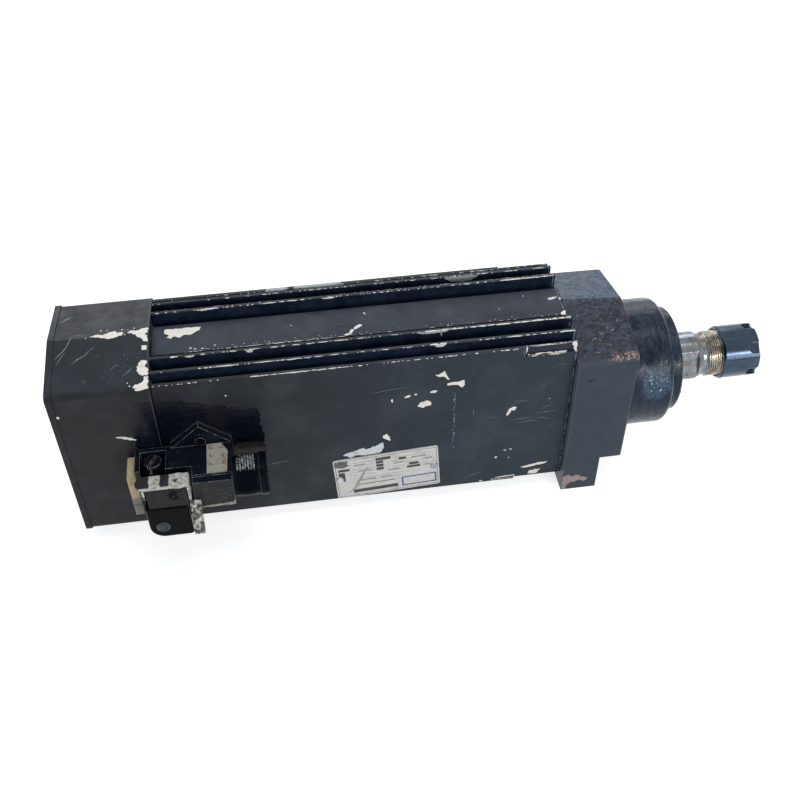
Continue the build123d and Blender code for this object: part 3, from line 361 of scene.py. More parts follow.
def gloss_paint():
    """Thick glossy blue-black with runs, over the bearing boss, with a painted sheen and painted highlights
    on its near side.
    """
    s = Shader("gloss_paint", 0.8, 0.18)
    runs = s.noise(6, 4, 0.55, (1.2, 0.8, 0.45), seed=71, distortion=0.5)
    base = s.mix(s.step(runs, 0.35, 0.7), (15, 26, 40), (36, 50, 66))
    # painted sheen: a lighter blue patch on the near side
    patch = s.around((17, -37, 13), 10, 2.5, 9, seed=72)
    patch = s.all_of(patch, s.step(s.noise(2.4, 4, 0.6, seed=70), 0.35, 0.6, 0.2, 1))
    base = s.mix(patch, base, (58, 82, 98))
    # painted highlights: bright glints within that patch
    painted_glints = s.step(s.noise(1.9, 4, 0.6, (1, 1, 0.6), seed=73, distortion=0.8), 0.58, 0.63)
    painted_glints = s.all_of(painted_glints, s.around((17, -37.5, 16), 7, 2, 5, seed=69))
    base = s.mix(painted_glints, base, (190, 200, 206))
    black = s.around((14, -25, 31), 8, 1.5, 12, seed=74)
    drips = s.noise(3, 4, 0.6, (1, 0.5, 0.5), seed=75)
    base = s.mix(s.all_of(black, s.step(drips, 0.52, 0.58)), base, (6, 10, 16))
    base = edge_wear_and_glint(s, base, 0.8, 0.5, (96, 108, 124), seed=76)
    s.paint(base, s.step(s.noise(8, 4, seed=77), 0.3, 0.7, 0.12, 0.32))
    s.bump(runs, 1.1, 0.8)
    s.bump(s.noise(2.6, 3, 0.5, seed=78), 0.07, 0.4)
    return s.mat


def steel(name, dark, light, rough, turned=True, seed=0, stain_tone=None, rings_share=0.55, edges=None):
    """Machined steel with fine turning marks round the X axis, and stains; `edges` is the colour of a
    highlight painted along its sharp edges.
    """
    s = Shader(name, 0.25, metallic=1)
    marks = s.noise(0.35, 2, 0.5, (1, 0.06, 0.06) if turned else (0.1, 1, 1), seed=seed)
    rings = s.noise(1.6, 3, 0.6, (1, 0.12, 0.12) if turned else (0.3, 1, 1), seed=seed + 1)
    stain = s.noise(6, 5, 0.68, seed=seed + 2)
    base = s.mix(s.step(stain, 0.35, 0.68), light, dark)
    base = s.mix(s.step(rings, 0.5, 0.68, 0, rings_share), base, dark)
    if stain_tone:
        brown = s.step(s.noise(5, 4, 0.6, (0.35, 1, 1), seed=seed + 3), 0.5, 0.66, 0, 0.7)
        base = s.mix(brown, base, stain_tone)
    if edges:
        # painted highlight: the sharp edges are lightened to this colour
        base = s.mix(s.edge(0.5), base, edges)
    s.paint(base, s.step(stain, 0.3, 0.75, rough - 0.05, rough + 0.16))
    s.bump(marks, 0.012, 0.4)
    return s.mat


def plastic(name, colour, dusty, rough, grain, level, edges, dust, seed):
    """Moulded plastic with fine grain, dust in patches, faint scuffs, and edges lightened both by wear and as
    a painted highlight.
    """
    s = Shader(name, 0.4, level)
    cloud = s.noise(6, 6, 0.7, seed=seed)
    scuff = s.noise(1.4, 4, 0.7, (0.3, 1, 2.5), seed=seed + 4)
    base = s.mix(s.step(cloud, 0.42, 0.72, 0, dust), colour, dusty)
    base = s.mix(s.step(scuff, 0.64, 0.74, 0, 0.45), base, dusty)
    base = edge_wear_and_glint(s, base, 0.55, 0.9, edges, seed + 5)
    s.paint(base, s.step(cloud, 0.3, 0.7, rough - 0.06, rough + 0.16))
    s.bump(s.noise(0.5, 3, seed=seed + 6), 0.03, grain)
    return s.mat


def lever_paint():
    """Pressed steel, once white: chipped to olive and grey metal, dark at the bar's end and in a second band
    along it.
    """
    s = Shader("lever_paint", 0.4)
    x, y, z = s.axes()
    patches = s.noise(3.6, 6, 0.7, (1, 1, 0.6), seed=91, distortion=0.6)
    wobble = s.math("MULTIPLY_ADD", s.noise(2.5, 4, 0.7, seed=90), 3, x)
    bar_top = s.step(z, 2, 3)
    # the bar is darkened at its end and in a second band further along
    dark_bar_bands = s.math("MAXIMUM", s.step(wobble, -293.8, -294.4), s.between(wobble, -287.6, -282.6, 0.25))
    dark_bar_bands = s.all_of(dark_bar_bands, bar_top, s.step(y, -76.2, -75.8))
    handle = s.all_of(s.step(patches, 0.45, 0.48), s.step(z, 0, -2))
    hub = s.all_of(s.step(patches, 0.64, 0.67), bar_top)
    worn = s.math("MAXIMUM", s.math("MAXIMUM", dark_bar_bands, handle), hub)
    white = s.mix(s.step(s.noise(2, 4, seed=92), 0.4, 0.66), (196, 196, 186), (132, 132, 122))
    metal = s.mix(s.step(s.noise(3, 4, seed=93), 0.42, 0.6), (26, 29, 31), (78, 76, 60))
    base = s.mix(dark_bar_bands, s.mix(worn, white, metal), (24, 26, 29))
    s.paint(base, s.step(patches, 0.4, 0.6, 0.5, 0.35))
    s.bump(s.math("MULTIPLY", worn, -1), 0.06, 0.8)
    s.bump(s.noise(0.8, 3, seed=94), 0.03, 0.4)
    return s.mat


def end_plate_look():
    """Yellowed board, stained brown where the dirt settled."""
    s = Shader("cream_plastic", 0.3, 0.25)
    z = s.axes()[2]
    stain = s.noise(4.5, 6, 0.72, seed=96)
    low = s.step(z, -14, -8)
    base = s.mix(low, (140, 139, 130), (206, 186, 144))
    base = s.mix(s.step(stain, 0.54, 0.66, 0, 0.7), base, (132, 102, 62))
    base = s.mix(s.step(s.noise(1.1, 3, seed=97), 0.68, 0.72), base, (52, 42, 32))
    base = s.mix(s.between(z, -16.9, -16.5, 0.08), base, (48, 40, 32))
    base = edge_wear_and_glint(s, base, 0.4, 0.7, (96, 84, 62), seed=98)
    s.paint(base, s.step(stain, 0.3, 0.7, 0.5, 0.7))
    s.bump(s.noise(0.7, 3, seed=99), 0.04, 0.4)
    return s.mat


def board(name, light, dirt, rough, share=0.6, seed=0):
    """Printed or painted sheet with uneven dirt."""
    s = Shader(name, level=0.3)
    cloud = s.noise(5, 6, 0.7, seed=seed)
    base = s.mix(s.step(cloud, 0.45, 0.75, 0, share), light, dirt)
    base = s.mix(s.step(s.noise(0.8, 3, 0.6, seed=seed + 1), 0.66, 0.74, 0, 0.5), base, dirt)
    s.paint(base, s.step(cloud, 0.3, 0.7, rough - 0.06, rough + 0.1))
    s.bump(s.noise(0.6, 3, seed=seed + 2), 0.02, 0.4)
    return s.mat


def connector_look():
    """Moulded housing: brushed over glossy from above, dusty and scuffed on its front."""
    s = Shader("connector_look", 0.5, 0.14)
    y = s.axes()[1]
    cloud = s.noise(6, 6, 0.7, seed=170)
    dusty = s.step(y, -72.9, -73.3)
    front = s.mix(s.step(cloud, 0.4, 0.68), (27, 28, 29), (48, 48, 46))
    scuff = s.noise(1.5, 5, 0.75, (0.4, 1, 1), seed=171)
    front = s.mix(s.step(scuff, 0.62, 0.74, 0, 0.8), front, (96, 96, 90))
    top = s.mix(s.step(cloud, 0.45, 0.7), (13, 17, 25), (25, 30, 40))
    base = edge_wear_and_glint(s, s.mix(dusty, top, front), 0.6, 1, (172, 180, 184), seed=172)
    s.paint(base, s.mix(dusty, (0.22, 0.22, 0.22), (0.5, 0.5, 0.5)))
    s.bump(s.noise(3.2, 4, 0.6, seed=173), 0.18, 0.5)
    s.bump(s.noise(0.5, 3, seed=174), 0.03, 0.4)
    return s.mat


# colour, its dust, roughness, grain, specular level, colour of the edges (rubbed wear and painted highlight),
# share of dust and seed
moulded = {name: plastic(name, *facts) for name, *facts in (
    ("rubber", (16, 16, 18), (52, 54, 56), 0.55, 0.3, 0.2, (96, 100, 104), 0.8, 12),
    ("black_plastic", (38, 40, 42), (84, 84, 78), 0.42, 0.4, 0.24, (170, 168, 158), 0.7, 13),
    ("gloss_plastic", (3, 5, 8), (14, 18, 24), 0.1, 0.2, 0.05, (120, 128, 134), 0.3, 14),
    ("bay_plastic", (10, 12, 16), (40, 44, 50), 0.2, 0.3, 0.4, (214, 218, 220), 0.5, 180),
    ("ear_screw", (9, 12, 18), (36, 42, 48), 0.16, 0.3, 0.12, (186, 194, 196), 0.4, 189),
    ("entry_plastic", (8, 12, 19), (24, 29, 35), 0.18, 0.3, 0.015, (146, 158, 156), 0.8, 183),
    ("gasket_rubber", (8, 10, 14), (24, 28, 34), 0.3, 0.3, 0.2, (150, 158, 164), 0.4, 186),
    ("disc_plastic", (30, 38, 46), (84, 94, 102), 0.25, 0.3, 0.2, (110, 120, 126), 0.8, 107),
    ("hood_plastic", (26, 27, 28), (50, 50, 49), 0.5, 0.4, 0.14, (170, 170, 162), 0.7, 110),
)}
looks = {
    **moulded,
    "cowl_paint": cowl_paint(),
    "body_paint": body_paint(),
    "casting_paint": casting_paint(),
    "gloss_paint": gloss_paint(),
    "bright_steel": steel("bright_steel", (82, 84, 86), (128, 136, 144), 0.17, seed=5,
                          stain_tone=(116, 102, 84)),
    # the nut's rims and notches get a painted highlight
    "blued_steel": steel("blued_steel", (54, 64, 77), (65, 77, 91), 0.1, seed=6, rings_share=0.3,
                         edges=(112, 128, 142)),
    "cast_aluminium": steel("cast_aluminium", (130, 130, 130), (170, 170, 170), 0.45, False, 7),
    "plate_aluminium": steel("plate_aluminium", (140, 144, 150), (186, 190, 196), 0.35, False, 8),
    "lamination": steel("lamination", (80, 80, 84), (116, 116, 120), 0.5, seed=9),
    "copper": steel("copper", (150, 80, 44), (200, 116, 70), 0.35, seed=10),
    "contact_brass": steel("contact_brass", (180, 140, 60), (214, 180, 100), 0.3, seed=11),
    "cream_plastic": end_plate_look(),
    "lever_paint": lever_paint(),
}
slots = {row["node"]: row["material_slot"] for row in frame["record"]["subparts"]}
special = {
    "nameplate": board("plate_face", (206, 204, 196), (136, 134, 126), 0.4, 0.45, 101),
    "marker_tag": board("tag_face", (158, 154, 140), (96, 90, 80), 0.5, 0.75, 104),
    "connector_housing": connector_look(),
    "bay_screw": moulded["bay_plastic"],
    "connector_screws": moulded["ear_screw"],
    "cable_entry": moulded["entry_plastic"],
    "connector_gasket": moulded["gasket_rubber"],
    "plug_disc": moulded["disc_plastic"],
    "plug_hood": moulded["hood_plastic"],
}
for node, piece in NODES.items():
    piece.data.materials.clear()
    piece.data.materials.append(special.get(node, looks[slots[node]]))


# ------------------------------ thin pieces on a surface
TREES, GROUPS = {}, {}
chance = random.Random(47)
draw = chance.uniform

# the axis looked along, its sense, and where the look starts
SIDE, FAR_SIDE = (1, 1, -120.0), (1, -1, 120.0)
TOP, UNDERSIDE = (2, -1, 120.0), (2, 1, -120.0)


def surface(node, place, face):
    """The point and normal of a node's surface seen along a face's axis, in millimetres."""
    if node not in TREES:
        mesh = NODES[node].data
        TREES[node] = BVHTree.FromPolygons([v.co / MM for v in mesh.vertices],
                                           [p.vertices[:] for p in mesh.polygons])
    axis, sense, start = face
    origin, towards = Vector(), Vector()
    others = [i for i in range(3) if i != axis]
    origin[others[0]], origin[others[1]], origin[axis] = place[0], place[1], start
    towards[axis] = sense
    hit, normal = TREES[node].ray_cast(origin, towards)[:2]
    if hit is None:
        hit, normal = TREES[node].find_nearest(origin + towards * abs(start) * 0.6)[:2]
    if normal.dot(towards) > 0:
        normal = -normal
    return hit, normal


def ragged(outline, amount, step):
    """Cuts an outline's runs into short ones and pushes the new corners in and out."""
    result = []
    for (a, b), (c, d) in zip(outline, outline[1:] + outline[:1]):
        length = math.hypot(c - a, d - b)
        cuts = max(1, round(length / step))
        nx, ny = (-(d - b) / length, (c - a) / length) if length else (0, 0)
        for i in range(cuts):
            push = draw(-amount, amount)
            result.append((a + (c - a) * i / cuts + nx * push, b + (d - b) * i / cuts + ny * push))
    return result


def lay(group, node, outline, face=SIDE, proud=0.05, amount=0.3, step=0.9):
    """Adds a thin closed patch with this outline to a group, standing `proud` of the node's surface."""
    verts, faces = GROUPS.setdefault(group, ([], []))
    points = ragged(outline, amount, step) if amount else list(outline)
    flat = [Vector((a, b, 0)) for a, b in points]
    triangles = tessellate_polygon([flat])
    base, count = len(verts), len(points)
    seen = [surface(node, p, face) for p in points]
    depths = sorted(hit[face[0]] for hit, _ in seen)
    level = depths[len(depths) // 2]
    for i, (hit, _) in enumerate(seen):
        if abs(hit[face[0]] - level) > 2.0:    # the ray went past an edge, so the nearest point is taken
            aim = hit.copy()
            aim[face[0]] = level
            seen[i] = TREES[node].find_nearest(aim)[:2]
    verts.extend((hit + normal * proud) * MM for hit, normal in seen)
    verts.extend((hit - normal * 0.08) * MM for hit, normal in seen)
    outward = seen[0][1]
    for t in triangles:
        a, b, c = (verts[base + i] for i in t)
        turn = (b - a).cross(c - a).dot(outward) > 0
        one = t if turn else (t[0], t[2], t[1])
        faces.append(tuple(base + i for i in one))
        faces.append(tuple(base + count + i for i in reversed(one)))
    for i in range(count):
        j = (i + 1) % count
        faces.append((base + i, base + j, base + count + j, base + count + i))


def blob(a, b, ra, rb=None, turn=0.0, corners=9):
    """An uneven round outline."""
    points = []
    for i in range(corners):
        angle, size = math.tau * i / corners, draw(0.72, 1.12)
        points.append((ra * size * math.cos(angle), (rb or ra) * size * math.sin(angle)))
    return turned(points, turn, (a, b))


def stroke(points, width):
    """The outline of a line that is thickest in the middle."""
    left, right, last = [], [], len(points) - 1
    for i, (a, b) in enumerate(points):
        c, d = points[min(i + 1, last)]
        e, f = points[max(i - 1, 0)]
        length = math.hypot(c - e, d - f) or 1
        half = width / 2 * (0.25 + 0.75 * math.sin(math.pi * i / last))
        nx, ny = -(d - f) / length * half, (c - e) / length * half
        left.append((a + nx, b + ny))
        right.append((a - nx, b - ny))
    return left + right[::-1]


def turned(points, turn, centre):
    """Points turned by an angle in degrees and moved so that (0, 0) comes to the centre."""
    c, s = math.cos(math.radians(turn)), math.sin(math.radians(turn))
    return [(centre[0] + u * c - v * s, centre[1] + u * s + v * c) for u, v in points]


def bar(a, b, width, height, turn=0.0, centre=(0.0, 0.0)):
    """A rectangle from its lower left corner, turned about a centre."""
    return turned([(a, b), (a + width, b), (a + width, b + height), (a, b + height)], turn, centre)


def flush_group(group, look, body):
    """Makes one mesh of a group's patches, which rides on a body."""
    verts, faces = GROUPS[group]
    mesh = bpy.data.meshes.new(group)
    mesh.from_pydata(verts, [], faces)
    mesh.update()
    fix = bmesh.new()
    fix.from_mesh(mesh)
    bmesh.ops.recalc_face_normals(fix, faces=fix.faces)
    fix.to_mesh(mesh)
    fix.free()
    mesh.materials.append(look)
    piece = new_object(group, mesh)
    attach(piece, body)


CHIP, COWL, BODY, SHIELD = "primer_chips", "fan_cowl", "stator_housing", "front_end_shield"

# chips on the cowl's roof, as (x, y)
for outline in (
    [(-322.5, 0.2), (-318, 2.6), (-314.5, 1.4), (-310.5, 3.4), (-308, 4.6), (-306.8, 2.2), (-303.6, 2.4),
     (-302.8, 0.4), (-306, -1.6), (-309.5, -2.4), (-313, -1.8), (-317, -0.6)],
    [(-301, 1.2), (-298.6, 3.4), (-296, 2.4), (-293.6, 3.2), (-290.2, 4.8), (-288.6, 4.2), (-288.7, 0.2),
     (-290.4, -1.2), (-288.8, -3.8), (-288.8, -7.2), (-291.2, -6.4), (-293.6, -3.6), (-295.4, -1.6),
     (-298, 0)],
    [(-292.6, -9.8), (-289.6, -9.6), (-288.7, -11), (-289.4, -13.4), (-292, -13)],
    [(-293.8, -22), (-291, -20.8), (-288.8, -22.8), (-290.2, -25.2), (-288.7, -27.2), (-288.8, -31.6),
     (-291.6, -32.2), (-294.4, -30), (-295, -26.4)],
    [(-290.8, -33), (-288.7, -33), (-288.8, -41.2), (-292, -41.6), (-294.6, -41.4), (-297.6, -39.8),
     (-296.4, -38), (-292.6, -37.6), (-291.2, -36)],
):
    lay(CHIP, COWL, outline, TOP, amount=0.5)
for a, b, r in ((-316.2, 6.4, 0.6), (-312.6, 6, 0.4), (-304, 5.2, 0.5), (-302, -0.6, 0.4),
                (-324.5, -0.4, 0.4), (-296.9, 5.6, 0.5), (-300.4, 4.2, 0.4), (-299, -38.6, 0.5),
                (-300.2, -36.4, 0.35)):
    lay(CHIP, COWL, blob(a, b, r), TOP, amount=0.05)
for points, width in (
    ([(-341.8, -14.5), (-338.6, -10.4), (-335.4, -6), (-333.4, -0.4), (-332.6, 2)], 0.45),
    ([(-340.6, -18.5), (-338, -13), (-336, -9.4)], 0.35),
    ([(-332, -19), (-328.6, -15.6), (-325, -13.6), (-321.8, -10.6)], 0.45),
    ([(-324.6, -12), (-320.6, -8.6), (-319.2, -6.8)], 0.3),
    ([(-341.6, 19.6), (-338.4, 22.8), (-335.2, 25)], 0.7),
    ([(-339, 23.6), (-334, 26)], 0.35),
    ([(-310, -26), (-307, -22.6), (-304.6, -23.4)], 0.3),
    ([(-303.2, -31), (-299.6, -28.4), (-297.4, -25)], 0.3),
):
    lay("cowl_scratches", COWL, stroke(points, width), TOP, amount=0.06, step=1.5)
lay("cowl_scratches", COWL, stroke([(-335, 1), (-330, 4), (-324, 2)], 0.3), TOP, amount=0.05, step=1.5)
for _ in range(34):
    a, b = draw(-318, -290), draw(-38, -14)
    line = [(a, b), (a + draw(-2, 2), b + draw(0.4, 2.4))]
    lay("cowl_scratches", COWL, stroke(line, 0.22), TOP, amount=0)
lay(CHIP, COWL, stroke([(-313.4, 22.6), (-309, 21.6), (-305.6, 20.2), (-302.4, 18.8)], 2.2))
lay(CHIP, COWL, blob(-341.7, 43.2, 0.8, 1.1), amount=0.1)

# chips on the body's top strip and fins
lay(CHIP, BODY, [(-280.2, 9.6), (-274, 9.4), (-266, 9.5), (-259, 9.2), (-259.4, 6.6), (-262.6, 4.4),
                 (-264.8, 2.6), (-268.6, 3.4), (-271.4, 1.2), (-275, 2.6), (-276.4, 0.6), (-279.2, 2.2),
                 (-277.8, 4.2), (-280.6, 6.4)], TOP)
for a, b, ra, rb, turn in ((-165.6, -5.2, 3.2, 1.6, 35), (-169.6, -8.6, 2, 1.1, 50),
                           (-172, -11.2, 2.8, 1.1, 10), (-44, 3.4, 3.6, 1.1, 12),
                           (-38.9, 2.4, 0.8, 1.2, 0), (-40.4, -11.4, 1.6, 2.6, -35),
                           (-265, -9.6, 0.9, 0.7, 0), (-262.4, -10.6, 0.7, 0.5, 0), (-250.7, -9, 0.6, 0.5, 0),
                           (-258, -10.8, 0.8, 0.4, 0), (-205, 2, 0.4, 0.4, 0), (-160, 6.6, 0.5, 1.4, 20),
                           (-61, 8.4, 0.5, 0.4, 0), (-78, -2, 0.4, 0.3, 0)):
    lay(CHIP, BODY, blob(a, b, ra, rb, turn), TOP, amount=0.15, step=0.7)
for _ in range(40):
    a = draw(-262, -44)
    lay(CHIP, BODY, blob(a, draw(-12.2, -9.6), draw(0.2, 0.5), 0.25, 0, 6), TOP, amount=0)
lay("strip_scratches", BODY, stroke([(-180, -2.6), (-174, -3.4), (-168, -4.4)], 0.5), TOP,
    amount=0.05, step=2)
# on the fins' near faces, as ranges of x and z and the y where the look starts
for x0, x1, z0, z1, start in ((-218, -204.6, 53.8, 57.3, 36), (-200.6, -171, 53.6, 57.3, 36),
                              (-107, -84.6, 56.4, 60.6, 27), (-110.6, -105, 52.6, 55, 27),
                              (-133, -112, 60.4, 62, -25), (-233, -228, 60, 62, -25),
                              (-124, -116.4, 58.6, 60.6, -35), (-268, -262, 60.8, 62, -25),
                              (-185, -176, 61, 62, 15), (-262, -250, 61.2, 62, 15)):
    w = x1 - x0
    lay("grey_chips" if start == 36 or w > 20 else CHIP, BODY,
        [(x0 + 0.2 * w, z0 + 0.4), (x0 + 0.5 * w, z0), (x0 + 0.8 * w, z0 + 0.3), (x1, z1), (x0, z1)],
        (1, 1, start), amount=0.25 if w > 9 else 0.12)
for x0, x1 in ((-218, -204.6), (-200.6, -171)):
    lay("grey_chips", BODY, bar(x0, 37.1, x1 - x0, 2.7), TOP)
lay(CHIP, BODY, [(-70.9, 56.9), (-68.6, 56.8), (-69.2, 52.4), (-70.6, 51), (-71.4, 53.8)], amount=0.2)
lay(CHIP, BODY, stroke([(-68.4, 50.9), (-60, 51.2), (-52, 50.8), (-44, 51.2)], 0.7), amount=0.25, step=0.8)
lay(CHIP, BODY, stroke([(-66, 57.1), (-58, 57.2), (-44, 57.1)], 0.5), amount=0.15, step=0.8)
lay(CHIP, BODY, [(-42.2, 57.3), (-38.8, 57.2), (-38.7, 50.4), (-40.4, 51.4), (-41, 54)])

# the rubbed edge of each fin: its y, where it starts, and its runs as end, density and width; a run
# without density is a gap
WORN_EDGES = (
    (37.3, -288.2, ((-234.2, 0.1, 0.5), (-178, 0.35, 0.6), (-39.6, 0.45, 0.5))),
    (30.1, -287.5, ((-243.3, 0.15, 0.5), (-166, 0.6, 0.45), (-109.3, 0.35, 0.4), (-90.1, 0.6, 0.7),
                    (-38.9, 0.5, 0.5))),
    (19.6, -285.3, ((-258.4, 0.2, 0.5), (-243.4, 0.75, 0.8), (-221, 0.35, 0.5), (-197.9, 0.75, 0.6),
                    (-73.2, 0.5, 0.45), (-38.7, 0.95, 0.9))),
    (-12.7, -268.2, ((-256.6, 0.5, 0.7), (-251.9, 0, 0), (-236.1, 0.55, 0.5), (-174, 0.8, 0.6),
                     (-165.1, 0, 0), (-122.8, 0.25, 0.4), (-38.9, 0.3, 0.5))),
    (-21.4, -276, ((-271.5, 0.9, 1), (-258.9, 0, 0), (-174.8, 0.7, 0.5), (-127.3, 0.4, 0.45),
                   (-108.2, 0.97, 1.4), (-63.9, 0.93, 1), (-38.7, 0.98, 1.3))),
    (-31.9, -281.8, ((-260.3, 0.2, 0.5), (-238.8, 0.75, 0.9), (-176, 0.75, 0.55), (-126.1, 0.5, 0.45),
                     (-116, 0.95, 1.1), (-111.3, 0, 0), (-48.2, 0.55, 0.55), (-38.7, 0.97, 1.1))),
    (-39.7, -286.6, ((-231.5, 0.25, 0.6), (-224.6, 0.9, 1), (-177, 0.97, 0.7), (-121.5, 0.6, 0.4),
                     (-72.7, 0.5, 0.7))),
    (-38.1, -69.8, ((-38.7, 0.85, 0.7),)),
    (39.7, -286, ((-190, 0.35, 0.6), (-120, 0.6, 0.7), (-72, 0.45, 0.5))),
    (21.4, -280, ((-150, 0.3, 0.5), (-40, 0.5, 0.6))),
)
DASH_MEAN, GAP_MEAN = 5, 9


def wear_edges(face, share):
    """Dashes of bare metal along the fins' edges, seen along a face."""
    for edge_y, end, runs in WORN_EDGES:
        for last, density, width in runs:
            x, end, density = end, last, density * share
            while density and x < last - 0.5:
                run = min(0.4 + chance.expovariate(1 / (0.5 + DASH_MEAN * density ** 2)), last - x)
                cuts = max(2, round(run / 1.3))
                line = [(x + run * i / cuts, edge_y + draw(-0.13, 0.13)) for i in range(cuts + 1)]
                lay("rubbed_fins", BODY, stroke(line, width * draw(0.6, 1.25)), face, amount=0)
                x += run + 0.15 + chance.expovariate(1 / (0.15 + GAP_MEAN * (1 - density) ** 1.6))


wear_edges(TOP, 1)
wear_edges(UNDERSIDE, 0.7)

# chips on the body's near side, as (x, z)
for outline in (
    [(-124, 43.4), (-120.6, 44.6), (-118.4, 46.6), (-117.6, 43.6), (-115.4, 39.6), (-116, 38.8),
     (-118.6, 41.8), (-122, 42.2)],
    [(-116.8, 35.8), (-112.6, 36.6), (-109.4, 36.4), (-106.6, 37.4), (-106, 35.8), (-106, 33), (-107.4, 31.4),
     (-109.6, 33.6), (-113, 34.6), (-116.4, 34.4)],
    [(-134.4, 20), (-132.4, 22.6), (-128.6, 23.4), (-126, 21.6), (-126.2, 19.6), (-129.6, 18.6),
     (-132, 17.8)],
    [(-156, -3), (-153.6, -1.6), (-151.8, -4.6), (-151.6, -8.2), (-153.8, -6.6), (-155.6, -5.4)],
    [(-78.6, 4.4), (-77.2, 8.2), (-74.6, 10.4), (-72, 9.4), (-73.6, 7), (-75.6, 7.2), (-76.4, 4.8),
     (-78.2, 2.8)],
    [(-66, -46.8), (-60, -45.6), (-54, -44), (-48, -44.2), (-49.2, -45.6), (-56, -46.6), (-62, -48)],
    [(-59.8, -56.2), (-59, -51.8), (-56, -50.4), (-51.6, -50.8), (-51.8, -53.4), (-54, -56.2)],
    [(-86, -56.2), (-82, -54.4), (-76, -53.4), (-70.4, -53.6), (-68.4, -56.2)],
):
    lay(CHIP, BODY, outline)
for a, b, ra, rb, turn in ((-124.6, 30.4, 2.4, 1.2, 12), (-140.4, 28.6, 2, 0.9, 20),
                           (-135.6, 29.6, 1, 0.8, 0), (-150, 26.6, 0.7, 1.5, 0),
                           (-77.3, -28.6, 1.2, 0.5, 0), (-73.6, -28.2, 1, 0.5, 0), (-83, -34.4, 1, 0.6, 0),
                           (-74.4, -36, 0.6, 0.5, 0), (-246.8, 45, 0.7, 0.6, 0), (-52, 14, 0.4, 0.4, 0),
                           (-92, -56, 1.2, 0.4, 0)):
    lay(CHIP, BODY, blob(a, b, ra, rb, turn), amount=0.15, step=0.7)
for i in range(30):
    height = 28 - 1.65 * i + draw(-0.5, 0.5)
    size = draw(0.18, 0.42) * (1.8 if i % 9 == 4 else 1)
    x = -111.6 + draw(-0.5, 0.5)
    lay("speck_line", BODY, blob(x, height, size, size * 1.5, 0, 6), amount=0)
for a, b, r in ((-54, 21, 1.2), (-54.6, 17, 1), (-52.2, 15.6, 0.8), (-52.6, 19.2, 0.7), (-95, -34, 1.1)):
    lay("paint_pits", BODY, blob(a, b, r, r * 1.1), amount=0.1, step=0.6)
lay("paint_pits", SHIELD, blob(-29.9, 30.5, 1.3, 1.5), amount=0.2, step=0.6)
lay("paint_pits", SHIELD, blob(-27.6, 31.5, 1.3, 0.6), amount=0.1, step=0.6)


def scuff(a, b, c, d, rise, face=SIDE):
    """A slightly arched grey stroke on the body's side."""
    line = [(a, b), ((a + c) / 2, (b + d) / 2 + rise), (c, d)]
    lay("side_scuffs", BODY, stroke(line, 0.5), face, proud=0.02, amount=0.08, step=1.2)


for ends in ((-77, -2, -62, -1), (-72, -4.6, -58, -4), (-58, 2, -47, 3), (-59, -1.4, -50, -4),
             (-74, 15, -66, 14), (-164, 34, -140, 36.4), (-57, 5.6, -49, 9), (-90, 2, -84, 3),
             (-104, -52, -92, -47), (-100, 12, -99, 4), (-232, -18, -214, -16)):
    scuff(*ends, 0.4)
lay("foot_chip", SHIELD, [(-37.6, -55), (-34, -54), (-31.4, -55.6), (-27.4, -54.8), (-24.6, -57.2),
                          (-21.6, -57.8), (-20.4, -60), (-23, -61.6), (-26, -59.8), (-29, -61.2),
                          (-32.4, -61.4), (-34.6, -64), (-35.2, -67.4), (-37.6, -67.4), (-37.8, -61)],
    amount=0.35)

# the far side, which the light side mirrors only loosely
for _ in range(26):
    a, b = draw(-270, -60), draw(-50, 52)
    ra, rb, turn = draw(0.4, 2.6), draw(0.3, 1.3), draw(0, 180)
    lay(CHIP, BODY, blob(a, b, ra, rb, turn), FAR_SIDE, amount=0.2)
for _ in range(16):
    a, b = draw(-260, -70), draw(-45, 48)
    scuff(a, b, a + draw(4, 18), b + draw(-4, 4), 0.5, FAR_SIDE)
lay(CHIP, SHIELD, [(-37.4, -50), (-33, -48), (-28, -51), (-31, -54), (-36, -54.6)], FAR_SIDE, amount=0.35)

# torn paper above the plate
lay("torn_paper", BODY, [(-181.4, -16.6), (-177.6, -14.6), (-172.8, -13.6), (-168.6, -12), (-166.4, -13.2),
                         (-164.2, -12.6), (-160, -11), (-155.8, -8.4), (-155.4, -13.2), (-158, -17.6),
                         (-164, -18), (-168, -18.6), (-172.4, -17.8), (-176.6, -19.4)],
    proud=0.18, amount=0.45, step=1.1)

# the plate's generic rules, boxes and frame; it carries no lettering
PLATE_LEAN, PLATE_CENTRE = 3.6, (-153.8, -36.6)
PLATE_HALF_W, PLATE_HALF_H = 33.5, 18.0


def plate_bar(group, u, v, width, height):
    """A rectangle on the plate, from its upper left corner in the plate's own millimetres."""
    outline = bar(u - PLATE_HALF_W, PLATE_HALF_H - v - height, width, height, PLATE_LEAN, PLATE_CENTRE)
    lay(group, "nameplate", outline, proud=0.04, amount=0)


